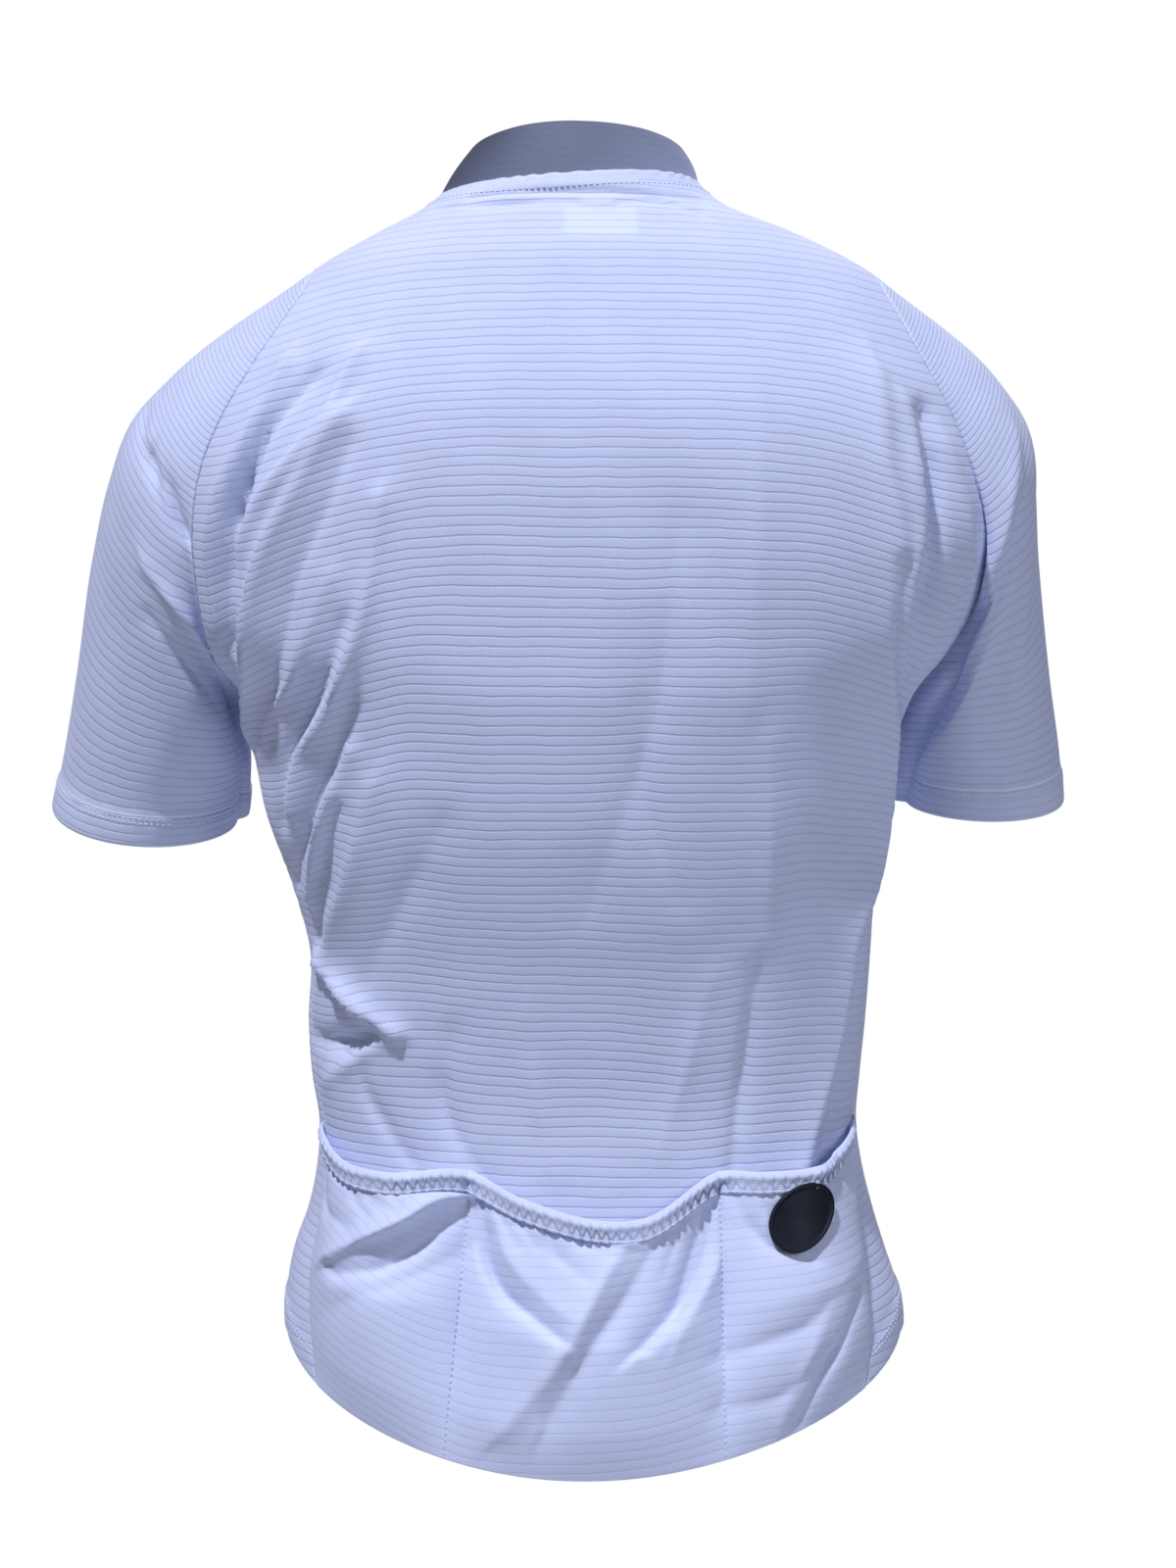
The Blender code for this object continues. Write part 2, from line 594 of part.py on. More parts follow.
def wall(name, outer, inner, shader, ring=False):
    """A closed solid between two grids of points in millimetres; a ring's last column is its first."""
    rows, columns = outer.shape[:2]
    if ring:
        columns -= 1
        outer = outer[:, :columns]
        inner = inner[:, :columns]
    points = np.concatenate([outer.reshape(-1, 3), inner.reshape(-1, 3)]) * MM
    half = rows * columns
    spans = columns if ring else columns - 1

    def at(row, column):
        return row * columns + column % columns

    faces = []
    for row in range(rows - 1):
        for column in range(spans):
            a, b = at(row, column), at(row, column + 1)
            d, c = at(row + 1, column), at(row + 1, column + 1)
            if np.linalg.norm(points[a] - points[c]) > SKEWED * np.linalg.norm(points[b] - points[d]):
                a, b, c, d = b, c, d, a
            faces += two_triangles(a, b, c, d)
            faces += two_triangles(half + a, half + d, half + c, half + b)
    for column in range(spans):
        for row, turn in ((0, 1), (rows - 1, -1)):
            here, beside = at(row, column), at(row, column + 1)
            edge = [here, half + here, half + beside, beside]
            faces += two_triangles(*edge[::turn])
    if not ring:
        for row in range(rows - 1):
            for column, turn in ((0, -1), (columns - 1, 1)):
                low, high = at(row, column), at(row + 1, column)
                edge = [low, half + low, half + high, high]
                faces += two_triangles(*edge[::turn])
    mesh = bpy.data.meshes.new(name)
    mesh.from_pydata(points.tolist(), [], faces)
    bm = bmesh.new()
    bm.from_mesh(mesh)
    bmesh.ops.recalc_face_normals(bm, faces=bm.faces)
    bm.to_mesh(mesh)
    bm.free()
    mesh.shade_smooth()
    mesh.set_sharp_from_angle(angle=math.radians(50))
    return add_object(name, mesh, shader)


def pulled_in(grid):
    """The grid with its side and top edges drawn in by half a seam's clearance."""
    grid = grid.copy()
    grid[:, 0] += unit(grid[:, 1] - grid[:, 0]) * SEAM / 2
    grid[:, -1] += unit(grid[:, -2] - grid[:, -1]) * SEAM / 2
    grid[-1] += unit(grid[-2] - grid[-1]) * SEAM / 2
    return grid


def on_triangles(grid, normals, across, height):
    """The point and normal of a grid's surface at a distance across and a height."""
    rows, columns = grid.shape[:2]
    target = np.array([across, height])
    best = None
    for row in range(rows - 1):
        for column in range(columns - 1):
            corners = ((row, column), (row, column + 1), (row + 1, column + 1), (row + 1, column))
            for triple in two_triangles(*corners):
                a, b, c = [grid[k] for k in triple]
                frame = np.array([(b - a)[[0, 2]], (c - a)[[0, 2]]]).T
                if abs(np.linalg.det(frame)) < 1e-6:
                    continue
                u, v = np.linalg.solve(frame, target - a[[0, 2]])
                miss = max(-u, -v, u + v - 1, 0)
                if best is None or miss < best[0]:
                    shares = np.array([1 - u - v, u, v])
                    normal = shares @ np.array([normals[k] for k in triple])
                    best = (miss, shares @ np.array([a, b, c]), unit(normal))
                if miss == 0:
                    return best[1:]
    return best[1:]


def pocket_stand(points, rise):
    """How far the pocket cloth stands off the back: pinched at sides, dividers and hem."""
    across = points[..., 0]
    lift = POCKET_BULGE * np.interp(rise, POCKET_PROFILE["up"], POCKET_PROFILE["share"])
    left, right = across[:, :1], across[:, -1:]
    lines = [left]
    for mouth, tack in zip(POCKET_DIVIDERS, POCKET_TACKS):
        lines.append(tack + (mouth - tack) * rise[:, :1])
    lines.append(right)
    arch = np.zeros(across.shape)
    for outer_line, inner_line in zip(lines[:-1], lines[1:]):
        share = (across - outer_line) / (inner_line - outer_line)
        inside = (share >= 0) & (share <= 1)
        arch = np.where(inside, np.sin(np.pi * np.clip(share, 0, 1)) ** POCKET_ARCH_POWER, arch)
    return lift * arch + SEAM


def along_rows(grid, where):
    """Points of a grid at fractional row numbers, one per column."""
    low = np.clip(np.floor(where).astype(int), 0, len(grid) - 2)
    share = (where - low)[..., None]
    columns = np.arange(grid.shape[1])
    return grid[low, columns] * (1 - share) + grid[low + 1, columns] * share


def along_columns(line, count):
    """count + 1 points of a row of points, at even steps of its column number."""
    where = np.linspace(0, len(line) - 1, count + 1)
    places = np.arange(len(line))
    return np.stack([np.interp(where, places, line[:, k]) for k in range(line.shape[1])], axis=1)


# ---------------------------------------------------------------- the jersey
for leftover in list(bpy.data.objects):
    bpy.data.objects.remove(leftover, do_unlink=True)
collection = bpy.data.collections.new("cycling_jersey")
bpy.context.scene.collection.children.link(collection)
guides = bpy.data.collections.new("guides")
bpy.context.scene.collection.children.link(guides)

knit = material("white_knit", (0.78, 0.81, 0.90), 0.75)
label_cloth = material("label_satin", (0.86, 0.88, 0.94), 0.5)
rubber = material("black_rubber", (0.02, 0.025, 0.035), 0.45)
tape_cloth = material("zip_tape", (0.74, 0.77, 0.86), 0.8)
zip_plastic = material("zip_plastic", (0.80, 0.83, 0.90), 0.35)

# Panels: the back in one piece, the front in two that meet at the zip.
back, back_normal = trunk_panel(back_places())
fronts = {side: trunk_panel(front_places(side)) for side in ("left", "right")}
body = pulled_in(back)
wall("back_panel", body, body - back_normal * WALL, knit)
for side, (front, front_normal) in fronts.items():
    body = pulled_in(front)
    wall("front_" + side, body, body - front_normal * WALL, knit)

# Sleeves start from the armhole's own points, moved clear to the side.
first = ROWS_POCKET + ROWS_SIDE
last = first + ROWS_ARMHOLE + 1
for side, column, sign in (("left", 0, 1), ("right", -1, -1)):
    front = fronts[side][0]
    hole = np.concatenate([back[first:last, column][::-1], front[first + 1:last, 0]])
    hole = hole + np.array([sign * ARMHOLE_GAP, 0, 0])
    rings = sleeve_rings(side, hole)
    normal = grid_normals(rings, ring=True) * sign
    front_edge = fronts[side][1][first + 1:last, 0]
    trunk_edge = np.concatenate([back_normal[first:last, column][::-1], front_edge])
    normal[0] = unit(normal[0] + trunk_edge * ARMHOLE_TURN[side])
    wall("sleeve_" + side, rings, rings - normal * WALL, knit, ring=True)

# Collar, one strip round the neck from one zip edge to the other.
right_neck = fronts["right"][0][-1][::-1]
back_neck = back[-1][::-1]
left_neck = fronts["left"][0][-1]
neck = np.concatenate([right_neck, back_neck[1:-1], left_neck])
collar = collar_points(neck)
collar_normal = grid_normals(collar, ring=False)
if collar_normal[0, len(neck) // 2, 1] < 0:
    collar_normal = -collar_normal
wall("collar", collar, collar - collar_normal * WALL, knit)

# Back pockets: one panel over the lower back, its mouth in an elastic casing.
row_height = back[ROWS_POCKET, :, 2] - back[ROWS_POCKET - 1, :, 2]
row_number = np.arange(ROWS_POCKET + 1)[:, None] * np.ones(COLUMNS_BACK + 1)
row_number[-1] -= (BAND_HEIGHT + SEAM) / row_height
pocket_base = along_rows(back, row_number)
pocket_normal = unit(along_rows(back_normal, row_number))
stand = pocket_stand(pocket_base, row_number / ROWS_POCKET)
creases = named(TRUNK_COLUMNS, POCKET_FOLDS)
stand = stand + relief(pocket_base, pocket_normal, creases, [trunk_path(crease) for crease in creases])
stand = np.maximum(stand, SEAM)
pocket_inner = pocket_base + pocket_normal * stand[..., None]
pocket_outer = pocket_inner + pocket_normal * WALL
wall("pocket_panel", pocket_outer, pocket_inner, knit)

band_number = np.array([-BAND_HEIGHT, -BAND_HEIGHT / 2, 0])[:, None] / row_height + ROWS_POCKET
band_base = along_rows(back, band_number)
band_normal = unit(along_rows(back_normal, band_number))
band_stand = pocket_stand(band_base, band_number / ROWS_POCKET)
band_lines = band_base + band_normal * (band_stand + BAND_CLEAR)[..., None]
band_inner = np.stack([along_columns(line, BAND_COLUMNS) for line in band_lines])
band_out = np.stack([along_columns(line, BAND_COLUMNS) for line in band_normal])
gather = np.cos(np.linspace(0, BAND_GATHERS * 2 * np.pi, BAND_COLUMNS + 1))
thinning, swell = np.array(BAND_SHAPE).T[..., None]
band_thick = BAND_THICK - thinning + swell * gather
wall("pocket_band", band_inner + band_out * band_thick[..., None], band_inner, knit)

# Neck label, bare, on the inside of the back just below the collar.
label_across = np.linspace(LABEL_CENTRE[0] - LABEL_WIDTH / 2, LABEL_CENTRE[0] + LABEL_WIDTH / 2, 5)
label_heights = np.linspace(LABEL_CENTRE[1] - LABEL_HEIGHT / 2, LABEL_CENTRE[1] + LABEL_HEIGHT / 2, 3)
found = [[on_triangles(back, back_normal, x, z) for x in label_across] for z in label_heights]
label_place = np.array([[point for point, normal in row] for row in found])
label_normal = np.array([[normal for point, normal in row] for row in found])
label_outer = label_place - label_normal * (WALL + LABEL_CLEAR)
wall("neck_label", label_outer, label_outer - label_normal * LABEL_THICK, label_cloth)

# Badge: a bare oval of rubber with a raised rim, bent to the pocket it is sewn on.
spokes = np.linspace(0, 2 * np.pi, BADGE_SPOKES + 1)
lean = math.radians(BADGE_LEAN_DEG)
rim_out = []
rim_in = []
for share, thick in BADGE_RINGS:
    along_oval = BADGE_LENGTH / 2 * share * np.cos(spokes)
    across_oval = BADGE_WIDTH / 2 * share * np.sin(spokes)
    x = BADGE_CENTRE[0] - along_oval * math.cos(lean) + across_oval * math.sin(lean)
    z = BADGE_CENTRE[1] + along_oval * math.sin(lean) + across_oval * math.cos(lean)
    seats = [on_triangles(pocket_outer, pocket_normal, *place) for place in zip(x, z)]
    seat = np.array([point for point, normal in seats])
    outward = np.array([normal for point, normal in seats])
    rim_in.append(seat + outward * BADGE_LIFT)
    rim_out.append(seat + outward * (BADGE_LIFT + thick))
badge_outer = np.array(rim_out)
badge_inner = np.array(rim_in)


def disc(name, outer, inner, shader):
    """A closed disc from rings of points that run from the middle outward."""
    made = wall(name, outer, inner, shader, ring=True)
    bm = bmesh.new()
    bm.from_mesh(made.data)
    bm.verts.ensure_lookup_table()
    spokes_each = outer.shape[1] - 1
    half = outer.shape[0] * spokes_each
    middle = [face for face in bm.faces if all(v.index % half < spokes_each for v in face.verts)]
    bmesh.ops.delete(bm, geom=middle, context="FACES_ONLY")
    for start in (0, half):
        bm.faces.new([bm.verts[start + k] for k in range(spokes_each)])
    bmesh.ops.recalc_face_normals(bm, faces=bm.faces)
    bmesh.ops.triangulate(bm, faces=bm.faces)
    bm.to_mesh(made.data)
    bm.free()
    return made


disc("badge", badge_outer, badge_inner, rubber)

# Zip: tapes behind the two front edges, the closed chain between them, slider and pull tab on top.
edges = {}
for side, sign, column in (("left", 1, -1), ("right", -1, 0)):
    front, front_normal = fronts[side]
    edge = np.concatenate([front[:, -1], collar[1:, column]])
    beside = np.concatenate([front[:, -2], collar[1:, column - sign]])
    turned = front_normal[-1:, -1] + collar_normal[:1, column]
    out = np.concatenate([front_normal[:-1, -1], turned * NECK_BEND, collar_normal[1:, column]])
    edges[side] = (edge, beside, out)
    run = unit(beside - edge)
    towards_middle = np.array([-sign, 0, 0]) * (ZIP_GAP / 2 - SEAM / 2)
    tape = np.stack([edge + towards_middle, edge, edge + run * TAPE_UNDER], axis=1)
    tape = tape - out[:, None] * (WALL + TAPE_GAP)
    wall("zip_tape_" + side, tape, tape - out[:, None] * TAPE_THICK, tape_cloth)

spine = (edges["left"][0] + edges["right"][0]) / 2
spine_out = unit(edges["left"][2] + edges["right"][2])
chain_half = np.array([CHAIN_WIDTH / 2, 0, 0])
chain_back = spine - spine_out * WALL
chain_lines = np.stack([chain_back - chain_half, chain_back + chain_half], axis=1)
wall("zip_chain", chain_lines + spine_out[:, None] * CHAIN_THICK, chain_lines, zip_plastic)

# The slider stands just below the collar's top, square to the chain.
seat = spine[-1] * SLIDER_SEAT + spine[-2] * (1 - SLIDER_SEAT)
slope = unit(spine[-1] - spine[-2])
tilt = math.atan2(slope[1], slope[2])
front_face = seat + spine_out[-1] * (CHAIN_THICK - WALL + SEAM)
zip_frame = bpy.data.objects.new("zip_frame", None)
collection.objects.link(zip_frame)
zip_frame.location = front_face * MM
zip_frame.rotation_euler = (-tilt, 0, 0)


def box(name, size, centre):
    """A box mesh in metres from millimetre sizes."""
    bm = bmesh.new()
    place = Matrix.Translation([value * MM for value in centre])
    grow = Matrix.Diagonal([value * MM for value in size] + [1])
    bmesh.ops.create_cube(bm, size=1, matrix=place @ grow)
    mesh = bpy.data.meshes.new(name)
    bm.to_mesh(mesh)
    bm.free()
    return mesh


def arch_mesh(name):
    """The slider's arch: a U on its side, its feet sunk into the plate."""
    far = -SLIDER_THICK - ARCH_RISE
    foot = -SLIDER_THICK / 2
    tall = ARCH_LENGTH / 2
    hollow = tall - ARCH_METAL
    profile = [
        (foot, tall), (far, tall), (far, -tall), (foot, -tall),
        (foot, -hollow), (far + ARCH_METAL, -hollow), (far + ARCH_METAL, hollow), (foot, hollow),
    ]
    bm = bmesh.new()
    corners = [bm.verts.new((-ARCH_WIDTH / 2 * MM, y * MM, z * MM)) for y, z in profile]
    face = bm.faces.new(corners)
    made = bmesh.ops.extrude_face_region(bm, geom=[face])
    moved = [item for item in made["geom"] if isinstance(item, bmesh.types.BMVert)]
    bmesh.ops.translate(bm, verts=moved, vec=(ARCH_WIDTH * MM, 0, 0))
    bmesh.ops.recalc_face_normals(bm, faces=bm.faces)
    mesh = bpy.data.meshes.new(name)
    bm.to_mesh(mesh)
    bm.free()
    return mesh


slider = add_object("zip_slider", box("zip_slider", (SLIDER_WIDTH, SLIDER_THICK, SLIDER_LENGTH),
                                      (0, -SLIDER_THICK / 2, 0)), zip_plastic)
slider.parent = zip_frame
arch = bpy.data.objects.new("slider_arch", arch_mesh("slider_arch"))
guides.objects.link(arch)
arch.parent = zip_frame
arch.hide_render = True
arch.display_type = "WIRE"
union = slider.modifiers.new("arch", "BOOLEAN")
union.operation = "UNION"
union.object = arch

hinge = bpy.data.objects.new("zip_hinge", None)
collection.objects.link(hinge)
hinge.parent = zip_frame
hinge.location = (0, -(SLIDER_THICK + (ARCH_RISE - ARCH_METAL) / 2) * MM, 0)


def corner_arc(x, y, radius, start, steps=4):
    turns = np.radians(np.linspace(start, start + 90, steps + 1))
    return [(x + radius * math.cos(turn), y + radius * math.sin(turn)) for turn in turns]


def pull_curve():
    """Pull tab: rounded at its free end, with a window that the slider's arch stands in."""
    half = PULL_WIDTH / 2
    top = PULL_THICK / 2
    end = top - PULL_LENGTH
    neck_half = half - PULL_TOP_INSET
    outline = corner_arc(neck_half, top - PULL_TOP_RADIUS, PULL_TOP_RADIUS, 0)
    outline += corner_arc(-neck_half, top - PULL_TOP_RADIUS, PULL_TOP_RADIUS, 90)
    outline += corner_arc(-half + PULL_END_RADIUS, end + PULL_END_RADIUS, PULL_END_RADIUS, 180)
    outline += corner_arc(half - PULL_END_RADIUS, end + PULL_END_RADIUS, PULL_END_RADIUS, 270)
    wide = PULL_WINDOW[0] / 2
    low = -top - PULL_WINDOW[1]
    window = [(-wide, -top), (wide, -top), (wide, low), (-wide, low)]
    curve = bpy.data.curves.new("zip_pull", "CURVE")
    curve.dimensions = "2D"
    curve.fill_mode = "BOTH"
    curve.extrude = PULL_THICK / 2 * MM
    for points in (outline, window):
        spline = curve.splines.new("POLY")
        spline.points.add(len(points) - 1)
        for point, (x, y) in zip(spline.points, points):
            point.co = (x * MM, y * MM, 0, 1)
        spline.use_cyclic_u = True
    return curve


pull_shape = pull_curve()
pull_shape.materials.append(zip_plastic)
pull = bpy.data.objects.new("zip_pull", pull_shape)
collection.objects.link(pull)
pull.parent = hinge
pull.rotation_euler = (math.radians(90), 0, 0)
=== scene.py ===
"""Finished look of a short-sleeved cycling jersey in its worn form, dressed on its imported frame.

Shapes are worked out in millimetres, +Z up, and put into the meshes in metres. The front with the
zip faces -Y, the back with the pockets +Y, and the wearer's left is +X. The origin is the middle of
the neck hole. The trunk is a stack of rounded sections; each panel is a fine grid on it between its
seams, pushed in and out by its folds, and everything sewn on starts from the panels' own points.
"""

import json
import math

import bpy
import numpy as np
from mathutils import Matrix, Vector


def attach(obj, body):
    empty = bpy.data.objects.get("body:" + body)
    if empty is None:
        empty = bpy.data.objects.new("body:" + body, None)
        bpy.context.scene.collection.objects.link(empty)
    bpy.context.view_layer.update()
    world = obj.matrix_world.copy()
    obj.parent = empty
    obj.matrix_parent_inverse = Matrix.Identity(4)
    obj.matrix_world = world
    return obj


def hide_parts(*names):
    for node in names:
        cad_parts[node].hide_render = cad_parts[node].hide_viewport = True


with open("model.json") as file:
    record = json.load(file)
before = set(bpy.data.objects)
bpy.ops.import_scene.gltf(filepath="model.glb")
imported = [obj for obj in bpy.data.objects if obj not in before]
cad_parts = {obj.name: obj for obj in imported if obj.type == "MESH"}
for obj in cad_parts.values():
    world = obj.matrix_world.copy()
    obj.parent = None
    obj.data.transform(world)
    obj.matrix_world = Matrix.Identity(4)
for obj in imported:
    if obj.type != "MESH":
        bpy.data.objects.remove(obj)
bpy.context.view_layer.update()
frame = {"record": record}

MM = 0.001
WHITE = (0.64, 0.70, 0.93, 1)
# Colour of the ribs' grooves, darker than the cloth: painted shade in the grooves.
GROOVE_PAINTED_SHADE = (0.49, 0.53, 0.74, 1)

# ---------------------------------------------------------------- the cut, millimetres
WALL = 1.2                  # ribbed knit, one layer
SEAM = 0.1                  # between two pieces that are sewn together
ARMHOLE_GAP = 0.25          # the same at the armhole, measured sideways
ARMHOLE_EASE = 0.03         # share of a sleeve over which its normals turn to the armhole's
ARMPIT = -283.0             # height of the armpits
SECTION_POWER = 2.3         # 2 is an ellipse, more is squarer
HEM_SIDE = -637.0           # hem height at the side seams
HEM_BACK = -682.0           # dropped tail, centre back
HEM_FRONT = -600.0          # centre front
HEM_TAIL_DEG = 78.0         # the tail reaches this far round from centre back
HEM_TAIL_POWER = 0.85       # under 1 gives the tail a flatter middle
NECK_DROP_FRONT = -56.0     # neck seam at the centre front
NECK_TILT = 4.0             # the left neck point is this much low and the right one as much high
NECK_POINT_DEG = 97.0       # where the shoulder seam meets the neck, round from centre back
ZIP_GAP = 8.0               # between the two front edges
BAND_HEIGHT = 10.0          # elastic casing along the pockets' top
BAND_CLEAR = 0.4            # the casing stands this far off the line of the pocket cloth
POCKET_BULGE = 17.0         # how far a pocket stands off the back, half-way up
POCKET_ARCH_POWER = 0.7     # under 1 makes a pocket boxier from divider to divider
COLLAR_BOW = 1.5            # how far the collar swells between its edges
HEM_DEPTH = 19.0            # turned-up hem of cuffs and fronts
NECK_TURN = 9.0             # turned edge at the back of the neck
HEM_LIFT = 1.1              # how far its second layer raises the cloth
LABEL_WIDTH = 40.0
LABEL_HEIGHT = 17.0
LABEL_THICK = 1.0
LABEL_CLEAR = 0.4           # behind the back panel's inner face
LABEL_CENTRE = (-8.5, -31.0)        # across and height
BADGE_LENGTH = 39.0
BADGE_WIDTH = 31.0
BADGE_CENTRE = (-114.0, -560.0)     # across and height
BADGE_LEAN_DEG = 35.0               # its long axis rises towards the wearer's right
BADGE_LIFT = 0.8
CHAIN_THICK = 2.4
TAPE_WIDTH = 12.0
TAPE_THICK = 0.7
TAPE_GAP = 0.5              # behind the fronts
ZIP_MEET = 0.3              # each tape ends this far from the zip's middle
TOOTH_PITCH = 3.0
SLIDER_WIDTH = 7.6
SLIDER_LENGTH = 9.5
SLIDER_THICK = 1.4
ARCH_WIDTH = 2.0
ARCH_LENGTH = 6.4
ARCH_RISE = 3.6
ARCH_METAL = 1.0
ARCH_CORNER = 0.9
ARCH_FOOT = 0.4             # share of the slider's thickness that its bridge starts in
PULL_WIDTH = 6.0
PULL_LENGTH = 24.0
PULL_THICK = 1.2
PULL_WINDOW = (3.2, 4.2)    # the opening round the slider's arch

# ---------------------------------------------------------------- how the cut is divided
ROWS_POCKET = 7             # named rows from hem to pocket mouth
ROWS_SIDE = 12              # pocket mouth to armpit
ROWS_ARMHOLE = 11
ROWS_SHOULDER = 3
ROW_CORNERS = np.cumsum([0, ROWS_POCKET + ROWS_SIDE, ROWS_ARMHOLE, ROWS_SHOULDER])
ROWS_FINE = (124, 77, 28)   # fine rows up the side seam, armhole and shoulder
COLUMNS_BACK = 168
COLUMNS_FRONT = 84
ROWS_SLEEVE = 92
SLEEVE_START = 0.14         # share of a sleeve below the armhole seam that its folds grow over
ROWS_COLLAR = 22
ROWS_POCKET_CLOTH = 72
COLUMNS_EACH_POCKET = (58, 84, 56)
ROWS_CASING = 12
GATHER_PITCH = 5.4
STEPS_EACH_GATHER = 12
BESIDE = 6                  # columns in from a panel's edge that give the edge's direction
# Rough lengths of the cloth, by which the extra lines of EDGE_STEPS are placed.
BACK_ACROSS = 480
FRONT_ACROSS = 260
SLEEVE_DOWN = 200
COLLAR_UP = 40
POCKET_UP = 130
# Extra lines this far from every sewn edge carry the seam's rolled shape.
EDGE_STEPS = np.array([0.5, 1.1, 1.9, 3.0])


def table(columns, *rows):
    """A table with named columns, as a dictionary of arrays."""
    return dict(zip(columns.split(), np.array(rows, float).T))


# Trunk sections from the hem up: half widths to the wearer's left and right, depths back and front.
TRUNK = table(
    "height  left  right  back  front",
    (-700, 166, 178, 128, 108), (-660, 167, 179, 122, 109), (-623, 169, 178, 110, 110),
    (-598, 165, 170, 101, 110), (-575, 157, 163, 93, 110), (-550, 152, 157, 87, 110),
    (-525, 151, 154, 83, 110), (-500, 155, 156, 82, 111), (-470, 157, 159, 85, 112),
    (-430, 156, 162, 92, 114), (-395, 165, 164, 101, 116), (-350, 181, 169, 111, 118),
    (-305, 189, 178, 118, 119), (-283, 196, 187, 121, 119), (-262, 215, 205, 122, 118),
    (-228, 232, 226, 123, 117), (-195, 241, 238, 123, 114), (-165, 240, 238, 122, 110),
    (-130, 228, 228, 117, 103), (-100, 208, 212, 108, 94), (-70, 180, 188, 97, 82),
    (-45, 151, 157, 87, 70), (-28, 122, 123, 77, 60), (-13, 94, 85, 69, 54), (0, 80, 68, 62, 49),
    (10, 74, 62, 58, 45),
)

# Side seam, degrees round from centre back.
SIDE_SEAM = table(
    "height  degrees",
    (-650, 63), (-580, 73), (-520, 79), (-400, 83), (-283, 88),
)

# Armhole from the shoulder point down to the armpit, degrees round from centre back.
ARMHOLE = {
    "back_left": table(
        "height  degrees",
        (-41, 94), (-47, 82), (-58, 73.5), (-88, 70), (-128, 69.7), (-165, 71), (-199, 72),
        (-228, 73.5), (-258, 77), (-276, 83), (-283, 88),
    ),
    "back_right": table(
        "height  degrees",
        (-43, 94), (-50, 82), (-64, 74), (-90, 71), (-131, 71), (-168, 72.5), (-200, 75.5), (-228, 79),
        (-258, 82), (-275, 85), (-283, 88),
    ),
    "front_left": table(
        "height  degrees",
        (-41, 94), (-52, 101), (-75, 108), (-110, 113.5), (-150, 116), (-190, 116.5), (-230, 114),
        (-262, 107), (-277, 98), (-283, 88),
    ),
    "front_right": table(
        "height  degrees",
        (-43, 94), (-54, 101), (-77, 108), (-110, 113.5), (-150, 116), (-190, 116.5), (-230, 114),
        (-262, 107), (-277, 98), (-283, 88),
    ),
}

# Sleeve rings from the shoulder to the cuff: the point on the outer line, the point on the line
# under the arm, the ring's middle and half depth front to back, how far its back edge drops, and how
# far its front and back bow outward.
SLEEVE = {
    "left": table(
        "top_x  top_z  under_x  under_z  middle_y  half_depth  back_drop  bow",
        (234, -102, 196, -298, -9, 71, 1, 15), (258, -127, 195, -306, -10, 67, 3, 9),
        (272, -160, 195, -314, -13, 64, 6, 5), (284, -205, 195, -323, -19, 61, 9, 0),
        (296, -270, 197, -337, -30, 57, 13, 0), (308, -325, 200, -352, -41, 54, 16, 0),
        (314, -349, 202, -360, -45, 53, 17, 0),
    ),
    "right": table(
        "top_x  top_z  under_x  under_z  middle_y  half_depth  back_drop  bow",
        (233, -104, 187, -297, -9, 71, 1, 23), (250, -127, 187, -304, -10, 67, 3, 15),
        (256, -160, 186, -311, -13, 64, 6, 9), (261, -205, 185, -319, -18, 61, 8, 0),
        (270, -272, 182, -330, -28, 56, 10, 0), (279, -325, 180, -340, -38, 53, 12, 0),
        (281, -346, 179, -345, -41, 52, 12, 0),
    ),
}

# Collar top edge: reach from the neck's middle and height, degrees round from centre back.
COLLAR_TOP = table(
    "degrees  reach  height",
    (-180, 63, -19), (-135, 62, -4), (-90, 58, 19), (-45, 53, 27), (0, 41, 32), (45, 58, 28),
    (90, 66, 20), (135, 65, -4), (180, 63, -19),
)

# How far a pocket stands off the back, from the hem up to its mouth, as shares.
POCKET_PROFILE = table(
    "up  share",
    (0, 0), (0.2, 0.45), (0.55, 1), (0.8, 0.85), (1, 0.7),
)

# Mouth of the back pockets, across from the wearer's right to left.
POCKET_LINE = table(
    "across  height",
    (-152, -519), (-122, -536), (-90, -538), (-70, -537), (-27, -559), (30, -549), (61, -536),
    (103, -539), (125, -536), (146, -523),
)
POCKET_DIVIDERS = (61.0, -71.0)     # across, at the mouth
POCKET_TACKS = (72.0, -72.0)        # across, at the hem

